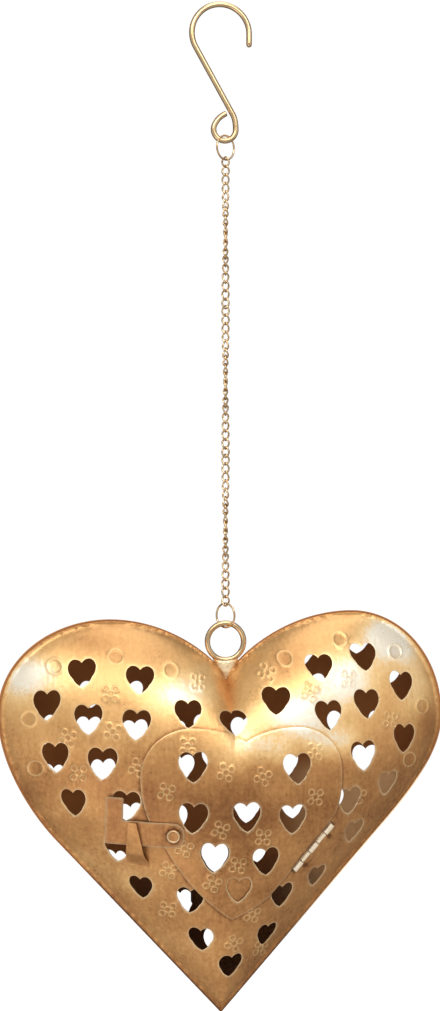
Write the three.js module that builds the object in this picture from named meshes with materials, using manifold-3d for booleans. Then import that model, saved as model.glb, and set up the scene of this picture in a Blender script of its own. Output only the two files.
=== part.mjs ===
// A pierced sheet-metal heart lantern that hangs from a curb chain and a wire S-hook.
// Millimetres, +Z up. The front of the heart faces -Y. The origin is where the hook rests on its nail.
import * as THREE from "three";
import { mergeVertices } from "three/addons/utils/BufferGeometryUtils.js";
import Module from "manifold-3d";

const wasm = await Module();
wasm.setup();

// Driving dimensions: millimetres, and degrees where a name says so
const clearance = 0.3; // between two pieces that touch, turn or slide on each other

const hookWire = 3.6; // wire diameter
const hookCrookRadius = 17.8; // of the wire's centre line
const hookCrookOffset = -3.1; // the crook's centre lies this far to the left of the nail
const hookTailLength = 7.6; // straight end below the crook's open side
const hookShankLean = 60.6; // degrees below level
const hookShankLength = 47; // straight part
const hookEyeRadius = 6.9; // of the wire's centre line
const hookEyeDrop = 9.4; // from the straight shank's end to the middle of the eye
const hookEyeShift = -5; // from the straight shank's end to the middle of the eye

const jumpRingDiameter = 16; // outside, both jump rings
const jumpRingWire = 1.2;
const ringInEye = 0.75; // gap under the upper ring's top, because ring and eye both bend
const upperRingTurn = 36; // degrees about the vertical that each ring is turned from the front
const lowerRingTurn = -51;
const hangingRingDiameter = 26; // outside
const hangingRingWire = 3.45;
const hangingRingToNotch = 8.5; // from the ring's lowest point to the bottom of the heart's notch
const weldHalfWidth = 4.6; // at its top, where it meets the ring
const weldThickness = 5;

const linkCount = 54;
const linksPerRun = 6; // links that move as one piece
const linkWire = 1.25;
const linkWidth = 4.2; // between the centre lines of a link's two sides
const linkHeight = 6.08; // between the centre lines of a link's two ends
const linkTwist = -45; // degrees that a curb link's top end is twisted from its middle
const chainTurnPerLink = -10.2; // degrees, the slow turn of the whole chain
const chainFirstTurn = -9; // degrees, how the top link is turned from facing the front
const fusedBite = 0.36; // how deep the links of one run sink into each other

const sheet = 0.7; // iron sheet of the two shells and the door
const domeDepth = 42; // how far each shell bulges
const domeRoundness = 2.2; // higher is flatter in the middle
const domeFullness = 0.85; // lower is steeper at the rim
const flangeWidth = 2.4; // flat rim where the two shells meet
const backLip = 1.2; // how far the back shell's rim reaches past the front's

// The heart's outline: x to the right of the notch, z up from it
const heart = {
  notch: [0.3, 0],
  left: { top: [-71.4, 34.5], wide: [-138.3, -22], straight: [-103, -98.5] },
  right: { top: [78.2, 39], wide: [135.3, -26], straight: [88.5, -102.7] },
  tip: [-2.8, -205.3],
};
const domeCentre = [0, -76]; // the point that the dome bulges round

const pierceWidth = 17.2; // of a pierced heart
const pierceHeight = 18;
const pierceBulge = 1.6; // how far the middle of its lower sides is pulled outwards, at most
// The middles of the pierced hearts, x and z from the notch, as they were punched by hand. A third
// number is the size of one that came out larger or smaller than the others.
const frontPierces = [
  [-111, -15], [-90, 4], [-56, 0], [-106, -46], [-87, -23], [-59, -26], [-95, -73, 0.94],
  [-79, -49, 1.06], [-28, -20, 0.96], [0, -26], [26, -13], [54, 6], [83, 12], [107, -6], [58, -22],
  [83, -16], [108, -38, 0.97], [80, -47], [-65, -74], [-69, -101, 0.95], [-54, -125, 0.88],
  [-26, -132, 0.95], [-18, -157, 0.9], [0, -174, 0.88], [22, -156, 0.86], [30, -131, 0.9],
  [53, -121, 0.8], [76, -94, 0.86], [71, -74, 0.95], [97, -65, 0.85],
];
const backPierces = [
  [-80, -12], [-56, -13], [-82, -35], [-52, -38], [-72, -62], [-104, -63], [-110, -33],
  [-6, -35], [-28, -39], [18, -37], [-22, -61], [0, -55], [-26, -93], [20, -87], [48, -84],
  [44, -59], [-1, -117], [25, -111], [-24, -143], [-2, -167], [51, 11], [59, -9], [85, 20],
  [106, 2], [78, -34], [103, -33], [93, -55], [71, -81], [-54, -90], [-65, -116],
];
const doorPierces = [
  [-26, -51], [37, -53], [-26, -81], [6, -81, 0.97], [34, -83, 0.97], [-13, -105], [18, -108, 0.95],
  [2, -125, 0.86],
];

// The door's outline, from the notch of the big heart
const door = {
  notch: [6.5, -37],
  left: { top: [-27, -28.5], wide: [-57, -57.5], straight: [-41, -100], bulge: 7 },
  right: { top: [38, -28.5], wide: [65.5, -55], straight: [58.5, -85], bulge: 16 },
  tip: [-1.3, -143.6],
};
const doorMiddle = [5, -80]; // the point that the doorway's edge is drawn in towards
const doorwayInset = 8.5; // how far the doorway's edge lies inside the door's
const doorwaySill = -117.5; // the doorway's level lower edge, from the notch

const hingeMiddle = [48.7, -101.5]; // x and z from the notch
const hingeLength = 36.4;
const hingeLean = 50.4; // degrees above level
const hingeKnuckles = 5;
const hingeBarrel = 3.4; // outside diameter
const hingePin = 1.5; // diameter
const hingePinHead = 2.6;
const hingeLeaf = 0.8; // thickness
const hingeLeafWidth = 8.6; // from the barrel's middle
const hingeRise = 0.4; // the barrel's middle lies this far above the shell's outer face
const hingeEdge = 2.1; // from the barrel's middle to the sheets on both sides
const hingeRivetSpread = 22.7; // between the two rivets
const hingeRivetReach = 5.2; // from the barrel's middle
const rivetShank = 1.8; // diameter, small rivets
const rivetHead = 3.2;
const rivetHeadHeight = 0.8;

const latchRivetAt = [-37.2, -91]; // x and z from the notch
const latchSheet = 0.9;
const latchArmWidth = 15;
const latchArmReach = 30.6; // from the rivet's middle to the finger tab
const latchTabLength = 10.8; // along the arm
const latchTabUp = 21.5; // from the arm's middle line to the tab's upper edge
const latchEnd = 6.5; // from the rivet's middle to the strap's round end
const latchBend = 4; // degrees that the arm is bent back towards the shell
const latchBendReach = 12; // from the rivet's middle to that bend
const latchRivetHead = 8.4;
const latchRivetShank = 4;
const latchRivetTail = 6;
const latchHeadHeight = 1.6;
const tongueLeft = [[-62.8, -109], [-62.7, -82]]; // its left edge, from its root up
const tongueRight = [[-50.8, -111], [-58.8, -82.6]];
const tongueSlit = 0.9; // width of the cut round it
const tongueLift = 5.6; // from the shell's inner face to the tongue's
const tongueRise = 0.36; // share of the tongue's height in which it bends out

const cupDiameter = 43; // outside
const cupHeight = 14;
const cupSheet = 0.8;
const cupFloor = [0, -139]; // x, and z of the floor's underside, from the notch
const bracketWidth = 14;
const bracketSheet = 1;
const bracketFront = -14; // where the strip under the cup ends
const bracketLeg = 12; // height of the leg that is riveted to the back shell
const bracketLegMiddle = [0, -135]; // x and z from the notch
const bracketRivetSpread = 7.4;

// Materials
const metal = (color, roughness) =>
  new THREE.MeshStandardMaterial({ color, roughness, metalness: 1 });
const goldSheet = metal("#cd9b5f", 0.42);
const goldWire = metal("#c9a066", 0.35);
const paleBrass = metal("#dcc394", 0.3);
const darkGold = metal("#8a5f33", 0.5);

const radians = THREE.MathUtils.degToRad;
const point = (x, y, z) => new THREE.Vector3(x, y, z);

// A closed geometry as a solid that can be joined and cut
function solidOf(geometry) {
  const bare = geometry.clone();
  for (const name of Object.keys(bare.attributes)) {
    if (name !== "position") bare.deleteAttribute(name);
  }
  const merged = mergeVertices(bare, 1e-4);
  return new wasm.Manifold(
    new wasm.Mesh({
      numProp: 3,
      vertProperties: new Float32Array(merged.attributes.position.array),
      triVerts: new Uint32Array(merged.index.array),
    }),
  );
}

function geometryOf(solid) {
  const made = solid.getMesh();
  const geometry = new THREE.BufferGeometry();
  geometry.setAttribute("position", new THREE.BufferAttribute(made.vertProperties, 3));
  geometry.setIndex(new THREE.BufferAttribute(made.triVerts, 1));
  geometry.computeVertexNormals();
  return geometry;
}

function joined(solids) {
  return solids.reduce((all, next) => all.add(next));
}

function fromTriangles(points, triangles) {
  const geometry = new THREE.BufferGeometry();
  const flat = points.flatMap((p) => [p.x, p.y, p.z]);
  geometry.setAttribute("position", new THREE.Float32BufferAttribute(flat, 3));
  geometry.setIndex(triangles);
  return geometry;
}

// The skin over rings of points, each ring counter-clockwise about the way the rings run
function skinned(rings, closed) {
  const points = rings.flat();
  const sides = rings[0].length;
  const triangles = [];
  const spans = closed ? rings.length : rings.length - 1;
  for (let i = 0; i < spans; i++) {
    const here = i * sides;
    const next = ((i + 1) % rings.length) * sides;
    for (let k = 0; k < sides; k++) {
      const other = (k + 1) % sides;
      triangles.push(here + k, here + other, next + other);
      triangles.push(here + k, next + other, next + k);
    }
  }
  if (!closed) {
    const last = (rings.length - 1) * sides;
    for (let k = 1; k < sides - 1; k++) {
      triangles.push(0, k + 1, k);
      triangles.push(last, last + k, last + k + 1);
    }
  }
  return fromTriangles(points, triangles);
}

// A round wire along a closed or open run of points. faceAt gives a direction square to the run.
function wireAlong(points, closed, radius, sides, faceAt) {
  const count = points.length;
  const rings = points.map((middle, i) => {
    const before = points[closed ? (i + count - 1) % count : Math.max(i - 1, 0)];
    const after = points[closed ? (i + 1) % count : Math.min(i + 1, count - 1)];
    const along = after.clone().sub(before).normalize();
    const face = faceAt(middle).clone();
    face.addScaledVector(along, -face.dot(along)).normalize();
    const side = along.clone().cross(face);
    return Array.from({ length: sides }, (_, k) => {
      const turn = (2 * Math.PI * k) / sides;
      return middle
        .clone()
        .addScaledVector(face, radius * Math.cos(turn))
        .addScaledVector(side, radius * Math.sin(turn));
    });
  });
  return skinned(rings, closed);
}

// The hook: open crook, straight leaning shank and closed eye, all in the X-Z plane
const crookInner = hookCrookRadius - hookWire / 2;
const crookCentre = [
  hookCrookOffset,
  -Math.sqrt(crookInner ** 2 - hookCrookOffset ** 2),
];
const shankWay = [Math.cos(radians(hookShankLean)), -Math.sin(radians(hookShankLean))];
const shankTop = [
  crookCentre[0] + hookCrookRadius * shankWay[1],
  crookCentre[1] - hookCrookRadius * shankWay[0],
];
const shankEnd = [
  shankTop[0] + hookShankLength * shankWay[0],
  shankTop[1] + hookShankLength * shankWay[1],
];
const eyeCentre = [shankEnd[0] + hookEyeShift, shankEnd[1] - hookEyeDrop];

function hookPath() {
  const [cx, cz] = crookCentre;
  const [ex, ez] = eyeCentre;
  const path = new THREE.Path();
  path.moveTo(cx + hookCrookRadius, cz - hookTailLength);
  path.lineTo(cx + hookCrookRadius, cz);
  path.absarc(cx, cz, hookCrookRadius, 0, Math.PI + radians(90 - hookShankLean), false);
  path.lineTo(...shankEnd);
  const right = ex + hookEyeRadius;
  path.quadraticCurveTo(right, shankEnd[1] - hookEyeDrop * 0.35, right, ez);
  path.absarc(ex, ez, hookEyeRadius, 0, -Math.PI * 1.2, true);
  const away = (hookWire + clearance) / Math.abs(shankWay[1]);
  const last = path.getPoint(1);
  path.quadraticCurveTo(
    last.x + 1.6,
    last.y + 3.4,
    shankEnd[0] - away + 0.2,
    shankEnd[1] + 0.4,
  );
  return path;
}

function hookGeometry() {
  const { curves } = hookPath();
  const steps = [1, 18, 1, 4, 24, 4]; // tail, crook, shank, way into the eye, eye, wire's end
  const points = curves.flatMap((curve, n) => {
    return Array.from({ length: steps[n] }, (_, i) => curve.getPoint(i / steps[n]));
  });
  points.push(curves.at(-1).getPoint(1));
  const middles = points.map((p) => point(p.x, 0, p.y));
  return wireAlong(middles, false, hookWire / 2, 8, () => point(0, 1, 0));
}

// A round ring in a group, facing the front, its middle at the group's origin
function ringGeometry(outside, wire, sides, steps) {
  const ring = new THREE.TorusGeometry((outside - wire) / 2, wire / 2, sides, steps);
  return ring.rotateX(Math.PI / 2);
}

// Heights down the line that everything hangs on
const eyeBottom = eyeCentre[1] - hookEyeRadius; // wire's centre line
const jumpRingMean = (jumpRingDiameter - jumpRingWire) / 2;
const upperRingZ = eyeBottom + hookWire / 2 + ringInEye + jumpRingWire / 2 - jumpRingMean;
const ringOnLink = (jumpRingWire + linkWire) / 2 + clearance; // centre line to centre line
const chainTopZ = upperRingZ - jumpRingMean + ringOnLink;
const pitchInRun = linkHeight - linkWire + fusedBite;
const pitchAcross = linkHeight - linkWire - clearance;

function linkTop(index) {
  const runsAbove = Math.floor(index / linksPerRun);
  return chainTopZ - (index - runsAbove) * pitchInRun - runsAbove * pitchAcross;
}

const chainBottomZ = linkTop(linkCount - 1) - linkHeight;
const lowerRingZ = chainBottomZ + ringOnLink - jumpRingMean;
const hangingMean = (hangingRingDiameter - hangingRingWire) / 2;
const hangingRingZ =
  lowerRingZ - jumpRingMean + jumpRingWire / 2 + clearance + hangingRingWire / 2 - hangingMean;
const notchZ = hangingRingZ - hangingRingDiameter / 2 - hangingRingToNotch;

// A curb link: an oval of wire whose two ends are twisted opposite ways about its long axis
function linkSolid(index) {
  const steps = 8;
  const facing = radians(chainFirstTurn + chainTurnPerLink * index);
  const middle = linkTop(index) - linkHeight / 2;
  const points = [];
  for (let i = 0; i < steps; i++) {
    const turn = (2 * Math.PI * (i + 0.5)) / steps;
    const across = (linkWidth / 2) * Math.cos(turn);
    const up = (linkHeight / 2) * Math.sin(turn) / Math.cos(Math.PI / steps);
    const twist = facing + radians(linkTwist) * ((2 * up) / linkHeight);
    points.push(point(across * Math.cos(twist), across * Math.sin(twist), middle + up));
  }
  const centre = point(0, 0, middle);
  const made = wireAlong(points, true, linkWire / 2, 4, (p) => p.clone().sub(centre));
  return solidOf(made);
}

function chainRunGeometry(run) {
  const links = [];
  for (let i = 0; i < linksPerRun; i++) links.push(linkSolid(run * linksPerRun + i));
  return geometryOf(joined(links));
}

// One half of a heart's outline as three curves and a straight, from the notch to the tip
function halfHeart(path, notch, side, tip) {
  const [nx, nz] = notch;
  const [tx, tz] = side.top;
  const [wx, wz] = side.wide;
  const [sx, sz] = side.straight;
  const [px, pz] = tip;
  path.bezierCurveTo(nx + 0.16 * (tx - nx), nz + 0.46 * (tz - nz), tx - 0.46 * (tx - nx), tz, tx, tz);
  path.bezierCurveTo(tx + 0.53 * (wx - tx), tz, wx, wz + 0.58 * (tz - wz), wx, wz);
  const length = Math.hypot(px - sx, pz - sz);
  const back = 0.3 * Math.hypot(sx - wx, sz - wz);
  path.bezierCurveTo(
    wx,
    wz - 0.36 * (wz - sz),
    sx - (back * (px - sx)) / length,
    sz - (back * (pz - sz)) / length,
    sx,
    sz,
  );
  const bulge = Math.sign(sx - px) * (side.bulge ?? 0);
  path.quadraticCurveTo(
    (sx + px) / 2 - (bulge * (pz - sz)) / length,
    (sz + pz) / 2 + (bulge * (px - sx)) / length,
    px,
    pz,
  );
}

// Points round a heart, notch first, down its right side and up its left
function heartPoints(shape, steps) {
  const halves = [shape.right, shape.left].map((side) => {
    const path = new THREE.Path();
    path.moveTo(...shape.notch);
    halfHeart(path, shape.notch, side, shape.tip);
    const found = [];
    path.curves.forEach((curve, n) => {
      for (let i = 0; i < steps[n]; i++) found.push(curve.getPoint(i / steps[n]));
    });
    return found;
  });
  const tip = new THREE.Vector2(...shape.tip);
  const [right, left] = halves;
  return [...right, tip, ...left.slice(1).reverse()];
}

// How far the dome's own outline lies from its centre, in a direction
const domeRim = heartPoints(heart, [24, 24, 20, 30]).map((p) => {
  const away = p.clone().sub(new THREE.Vector2(...domeCentre));
  const length = away.length() - flangeWidth;
  return { angle: Math.atan2(away.y, away.x), length };
});
domeRim.sort((a, b) => a.angle - b.angle);

function reachAt(angle) {
  const turned = Math.atan2(Math.sin(angle), Math.cos(angle));
  const found = domeRim.findIndex((p) => p.angle > turned);
  const after = domeRim[found < 0 ? 0 : found];
  const before = domeRim[found <= 0 ? domeRim.length - 1 : found - 1];
  const whole = 2 * Math.PI;
  const span = (after.angle - before.angle + whole) % whole;
  const part = ((turned - before.angle + whole) % whole) / span;
  return before.length + part * (after.length - before.length);
}

function smoothReachAt(angle) {
  const spread = radians(36);
  let total = 0;
  for (let i = -6; i <= 6; i++) total += reachAt(angle + (spread * i) / 6);
  return total / 13;
}

// The dome's height over its rim at x, z from the notch. The outline's notch shows near the rim
// and fades towards the middle, which follows a smoothed outline.
function domeHeight(x, z) {
  const dx = x - domeCentre[0];
  const dz = z - domeCentre[1];
  const far = Math.hypot(dx, dz);
  const angle = Math.atan2(dz, dx);
  const share = Math.min(far / reachAt(angle), 1);
  const mix = share * share * (3 - 2 * share);
  const level = Math.min(1, (1 - mix) * (far / smoothReachAt(angle)) + mix * share);
  return domeDepth * (1 - level ** domeRoundness) ** domeFullness;
}

// The outward normal of the front dome at x, z, and its place at a distance off its inner face
function domeNormal(x, z) {
  const step = 0.8;
  const slopeX = (domeHeight(x + step, z) - domeHeight(x - step, z)) / (2 * step);
  const slopeZ = (domeHeight(x, z + step) - domeHeight(x, z - step)) / (2 * step);
  return point(-slopeX, -1, -slopeZ).normalize();
}

function onDome(x, z, off) {
  const base = point(x, -(clearance / 2) - domeHeight(x, z), z);
  return base.addScaledVector(domeNormal(x, z), off);
}

// A sheet over the heart's outline: rings of points from its middle out to its rim on a lower
// and an upper face, closed along the rim. The dome runs out into a flat flange.
const meanReach = 118; // from the dome's centre to the rim
const ringShares = [0.16, 0.31, 0.44, 0.56, 0.67, 0.77, 0.86, 0.93];
const heartSteps = [4, 5, 4, 5];

function heartSheet(low, high, lip, mirrored) {
  const outline = heartPoints(heart, heartSteps);
  const [cx, cz] = domeCentre;
  const shares = [...ringShares, 1 - flangeWidth / meanReach, 1 + lip / meanReach];
  const flat = 1 - (1.5 * flangeWidth) / meanReach;
  const place = (share, p, off) => {
    const x = cx + share * (p.x - cx);
    const z = cz + share * (p.y - cz);
    const there = share > flat ? point(x, -clearance / 2 - off, z) : onDome(x, z, off);
    return mirrored ? there.setY(-there.y) : there;
  };
  const count = outline.length;
  const size = 1 + count * shares.length;
  const points = [low, high].flatMap((off) => [
    place(0, outline[0], off),
    ...shares.flatMap((share) => outline.map((p) => place(share, p, off))),
  ]);
  const triangles = [];
  const add = (turned, a, b, c) => triangles.push(...(turned !== mirrored ? [a, c, b] : [a, b, c]));
  for (let i = 0; i < count; i++) {
    const j = (i + 1) % count;
    for (const start of [0, size]) {
      const turned = start === 0;
      add(turned, start, start + 1 + j, start + 1 + i);
      for (let ring = 0; ring + 1 < shares.length; ring++) {
        const inner = start + 1 + ring * count;
        const outer = inner + count;
        add(turned, inner + j, outer + j, outer + i);
        add(turned, inner + j, outer + i, inner + i);
      }
    }
    const rim = 1 + (shares.length - 1) * count;
    add(false, size + rim + i, size + rim + j, rim + j);
    add(false, size + rim + i, rim + j, rim + i);
  }
  return solidOf(fromTriangles(points, triangles));
}

// A prism along Y over points of the X-Z plane
function prismSolid(points, low, high) {
  const made = new THREE.ExtrudeGeometry(new THREE.Shape(points), {
    depth: high - low,
    bevelEnabled: false,
  });
  return solidOf(made.rotateX(Math.PI / 2).translate(0, high, 0));
}

function boxSolid(low, high, placed = new THREE.Matrix4()) {
  const size = high.map((value, i) => value - low[i]);
  const middle = high.map((value, i) => (value + low[i]) / 2);
  const made = new THREE.BoxGeometry(...size).translate(...middle);
  return solidOf(made.applyMatrix4(placed));
}

// A turned solid along Z from points of radius and height
function turnedSolid(profile, steps, placed = new THREE.Matrix4()) {
  const points = profile.map(([radius, height]) => new THREE.Vector2(radius, height));
  const made = new THREE.LatheGeometry(points, steps).rotateX(Math.PI / 2);
  return solidOf(made.applyMatrix4(placed));
}

function rodSolid(radius, low, high, steps, placed) {
  return turnedSolid([[0, low], [radius, low], [radius, high], [0, high]], steps, placed);
}

// A frame on the dome at x, z: its X leans up from level within the sheet, its Z points outwards
function frameOn([x, z], off, lean = 0, mirrored = false) {
  const out = domeNormal(x, z);
  const origin = onDome(x, z, off);
  if (mirrored) {
    out.y = -out.y;
    origin.y = -origin.y;
  }
  const along = point(Math.cos(radians(lean)), 0, Math.sin(radians(lean)));
  along.addScaledVector(out, -along.dot(out)).normalize();
  const across = out.clone().cross(along);
  return new THREE.Matrix4().makeBasis(along, across, out).setPosition(origin);
}

// A pierced heart was punched in flat sheet, so on the dome's slope it looks narrower downhill
const cutSpare = 20; // how much deeper than the dome a cut goes
const deepest = domeDepth + cutSpare;
const pierceSide = (way) => ({
  top: [0.25 * way * pierceWidth, 0.5 * pierceHeight],
  wide: [0.5 * way * pierceWidth, 0.19 * pierceHeight],
  straight: [0.35 * way * pierceWidth, -0.15 * pierceHeight],
  bulge: pierceBulge,
});
const flatPierce = heartPoints(
  {
    notch: [0, 0.36 * pierceHeight],
    left: pierceSide(-1),
    right: pierceSide(1),
    tip: [0, -0.5 * pierceHeight],
  },
  [2, 2, 1, 1],
);

function pierceSolid([x, z, size = 1], mirrored) {
  const normal = domeNormal(x, z);
  const slope = new THREE.Vector2(normal.x, normal.z);
  const shrink = 1 - Math.sqrt(1 - slope.lengthSq());
  slope.normalize();
  const points = flatPierce.map((flat) => {
    const p = flat.clone().multiplyScalar(size);
    const lost = p.dot(slope) * shrink;
    return new THREE.Vector2(x + p.x - lost * slope.x, z + p.y - lost * slope.y);
  });
  return mirrored ? prismSolid(points, 0, deepest) : prismSolid(points, -deepest, 0);
}

const pierced = (places, mirrored) => joined(places.map((place) => pierceSolid(place, mirrored)));

// Heights in the door's stack of sheets, off the front shell's inner face
const doorLow = sheet + clearance;
const doorHigh = doorLow + sheet;
const strapLow = doorHigh + clearance;
const strapHigh = strapLow + latchSheet;

const hingeFrame = frameOn(hingeMiddle, sheet, hingeLean);
const latchFrame = frameOn(latchRivetAt, 0);
const hingeHalf = hingeLength / 2;
const wide = 200; // longer than any sheet, for cutting along a line

// The doorway's edge runs inside the door's, and opens out past the hinge's barrel and leaf
function doorwaySolid() {
  const middle = new THREE.Vector2(...doorMiddle);
  const outline = heartPoints(door, [5, 5, 3, 6]).map((p) => {
    const away = p.clone().sub(middle);
    return away.setLength(away.length() - doorwayInset).add(middle);
  });
  const below = boxSolid([-wide, -deepest - 1, -wide], [wide, 1, doorwaySill]);
  const slot = boxSolid(
    [-hingeHalf - 2 * clearance - rivetHeadHeight, -hingeEdge, -deepest / 4],
    [hingeHalf + 2 * clearance + rivetHeadHeight, hingeLeafWidth + 2 * clearance, deepest / 4],
    hingeFrame,
  );
  const bay = rodSolid(latchRivetTail / 2 + 1, -sheet * 4, doorLow, 16, latchFrame);
  return joined([prismSolid(outline, -deepest, 0).subtract(below), slot, bay]);
}

// The catch tongue is cut free on three sides and bent out, so that the strap slides behind it
function tongueRing(share, low, high) {
  const mix = (line) => line[0].map((value, k) => value + share * (line[1][k] - value));
  const [lx, lz] = mix(tongueLeft);
  const [rx, rz] = mix(tongueRight);
  const rise = Math.min(Math.max(share / tongueRise, 0), 1);
  const lift = tongueLift * rise * rise * (3 - 2 * rise);
  return [
    onDome(rx, rz, lift + high),
    onDome(rx, rz, lift + low),
    onDome(lx, lz, lift + low),
    onDome(lx, lz, lift + high),
  ];
}

function tongueSolid() {
  const root = [-0.08, -0.02].map((share) => tongueRing(share, 0.25 * sheet, 0.75 * sheet));
  const free = [0.02, 0.13, 0.24, tongueRise, 0.7, 1].map((share) => tongueRing(share, 0, sheet));
  return solidOf(skinned([...root, ...free], false));
}

function tongueWindow() {
  const [leftRoot, leftTip] = tongueLeft;
  const [rightRoot, rightTip] = tongueRight;
  const points = [
    [leftRoot[0] - tongueSlit, leftRoot[1]],
    [leftTip[0] - tongueSlit, leftTip[1] + tongueSlit],
    [rightTip[0] + tongueSlit, rightTip[1] + tongueSlit],
    [rightRoot[0] + tongueSlit, rightRoot[1]],
  ].map(([x, z]) => new THREE.Vector2(x, z));
  return prismSolid(points, -deepest, 0);
}

// The hinge's rivets sit in the shell beside the barrel, in frames of their own on the dome
const hingeRivetFrames = [-1, 1].map((end) => {
  const place = point((end * hingeRivetSpread) / 2, -hingeRivetReach, 0).applyMatrix4(hingeFrame);
  return frameOn([place.x, place.z], 0, hingeLean);
});
const rivetHole = (placed) => rodSolid(rivetShank / 2 + clearance, -5, 5, 12, placed);

function frontShell() {
  return heartSheet(0, sheet, 0, false)
    .subtract(pierced(frontPierces, false))
    .subtract(doorwaySolid())
    .subtract(tongueWindow())
    .subtract(joined(hingeRivetFrames.map(rivetHole)))
    .add(tongueSolid());
}

const bracketRivetFrames = [-1, 1].map((side) => {
  const [x, z] = bracketLegMiddle;
  return frameOn([x + (side * bracketRivetSpread) / 2, z + bracketLeg / 6], 0, 0, true);
});

function backShell() {
  return heartSheet(0, sheet, backLip, true)
    .subtract(pierced(backPierces, true))
    .subtract(joined(bracketRivetFrames.map(rivetHole)));
}

// The door is a sheet that follows the dome, heart-shaped, cut straight along the hinge
function doorPanel() {
  const outline = heartPoints(door, [6, 6, 4, 7]);
  const besideHinge = boxSolid([-wide, -wide, -wide], [wide, hingeEdge, wide], hingeFrame);
  const rivetSeat = rodSolid(latchRivetShank / 2 + clearance, -wide / 9, wide / 9, 16, latchFrame);
  return heartSheet(doorLow, doorHigh, 0, false)
    .intersect(prismSolid(outline, -deepest, 0))
    .subtract(besideHinge)
    .subtract(pierced(doorPierces, false))
    .subtract(rivetSeat);
}

// A hinge leaf follows the sheet that it lies under, and carries every other knuckle
function hingeHalfSolid(low, toDoor) {
  const way = toDoor ? 1 : -1;
  const side = [way * hingeEdge, way * hingeLeafWidth].sort((a, b) => a - b);
  const cutter = boxSolid(
    [-hingeHalf + 1, side[0], -deepest / 6],
    [hingeHalf - 1, side[1], deepest / 6],
    hingeFrame,
  );
  const plate = heartSheet(low, low + hingeLeaf, 0, false).intersect(cutter);
  const pitch = hingeLength / hingeKnuckles;
  const axis = hingeFrame.clone().multiply(
    new THREE.Matrix4().makeRotationY(Math.PI / 2).setPosition(0, 0, hingeRise),
  );
  const solids = [plate];
  const strap = [way * (hingeEdge + 0.6), way * 0.2].sort((a, b) => a - b);
  for (let i = toDoor ? 1 : 0; i < hingeKnuckles; i += 2) {
    const from = -hingeHalf + i * pitch + clearance / 2;
    const to = from + pitch - clearance;
    solids.push(rodSolid(hingeBarrel / 2, from, to, 14, axis));
    solids.push(boxSolid(
      [from, strap[0], low - sheet],
      [to, strap[1], low - sheet + hingeLeaf - 0.1],
      hingeFrame,
    ));
  }
  const bore = rodSolid(hingePin / 2 + clearance, -wide / 4, wide / 4, 14, axis);
  const made = joined(solids).subtract(bore);
  return toDoor ? made : made.subtract(joined(hingeRivetFrames.map(rivetHole)));
}

function pinSolid() {
  const axis = hingeFrame.clone().multiply(
    new THREE.Matrix4().makeRotationY(Math.PI / 2).setPosition(0, 0, hingeRise),
  );
  const end = hingeHalf + clearance / 2;
  const top = end + rivetHeadHeight;
  const profile = [
    [0, -top], [hingePinHead / 2, -top], [hingePinHead / 2, -end], [hingePin / 2, -end],
    [hingePin / 2, end], [hingePinHead / 2, end], [hingePinHead / 2, top], [0, top],
  ];
  return turnedSolid(profile, 12, axis);
}

// A rivet through a stack of sheets between two heights of its frame: low, round head on top
function rivetSolid(low, high, head, headHeight, shank, tail, placed) {
  const under = low - clearance;
  const over = high + clearance;
  const profile = [
    [0, under - rivetHeadHeight],
    [0.8 * tail / 2, under - rivetHeadHeight],
    [tail / 2, under],
    [shank / 2, under],
    [shank / 2, over],
    [head / 2, over],
    [head / 2, over + 0.3 * headHeight],
    [0.75 * head / 2, over + 0.85 * headHeight],
    [0, over + headHeight],
  ];
  return turnedSolid(profile, 14, placed);
}

// The latch strap: a round end on its rivet, a bend, then the arm and the upright finger tab
function latchStrap() {
  const half = latchArmWidth / 2;
  const end = new THREE.Shape();
  end.moveTo(-latchBendReach, -half);
  end.lineTo(latchEnd - half, -half);
  end.quadraticCurveTo(latchEnd, -half, latchEnd, 0);
  end.quadraticCurveTo(latchEnd, half, latchEnd - half, half);
  end.lineTo(-latchBendReach, half);
  const arm = new THREE.Shape([
    new THREE.Vector2(0.1, -half),
    new THREE.Vector2(0.1, half),
    new THREE.Vector2(latchBendReach - latchArmReach, half),
    new THREE.Vector2(latchBendReach - latchArmReach, latchTabUp),
    new THREE.Vector2(latchBendReach - latchArmReach - latchTabLength, latchTabUp),
    new THREE.Vector2(latchBendReach - latchArmReach - latchTabLength, -half),
  ]);
  const plate = { depth: latchSheet, bevelEnabled: false, curveSegments: 5 };
  const bend = new THREE.Matrix4().makeRotationY(-radians(latchBend));
  const bent = new THREE.ExtrudeGeometry(arm, plate).applyMatrix4(bend);
  bent.translate(-latchBendReach, 0, strapLow);
  const flat = new THREE.ExtrudeGeometry(end, plate).translate(0, 0, strapLow);
  const seat = rodSolid(latchRivetShank / 2 + clearance, -wide / 9, wide / 9, 16, latchFrame);
  return joined([flat, bent].map((made) => solidOf(made.applyMatrix4(latchFrame)))).subtract(seat);
}

// A candle cup stands on a strip whose leg is riveted inside the back shell
const cupUnder = cupFloor[1];

function candleCup() {
  const outer = cupDiameter / 2;
  const inner = outer - cupSheet;
  const bevel = 1.2;
  const profile = [
    [0, 0], [outer - bevel, 0], [outer, bevel], [outer, cupHeight], [inner, cupHeight],
    [inner, cupSheet + bevel], [inner - bevel, cupSheet], [0, cupSheet],
  ];
  const placed = new THREE.Matrix4().makeTranslation(cupFloor[0], 0, cupUnder);
  return turnedSolid(profile, 28, placed);
}

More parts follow.
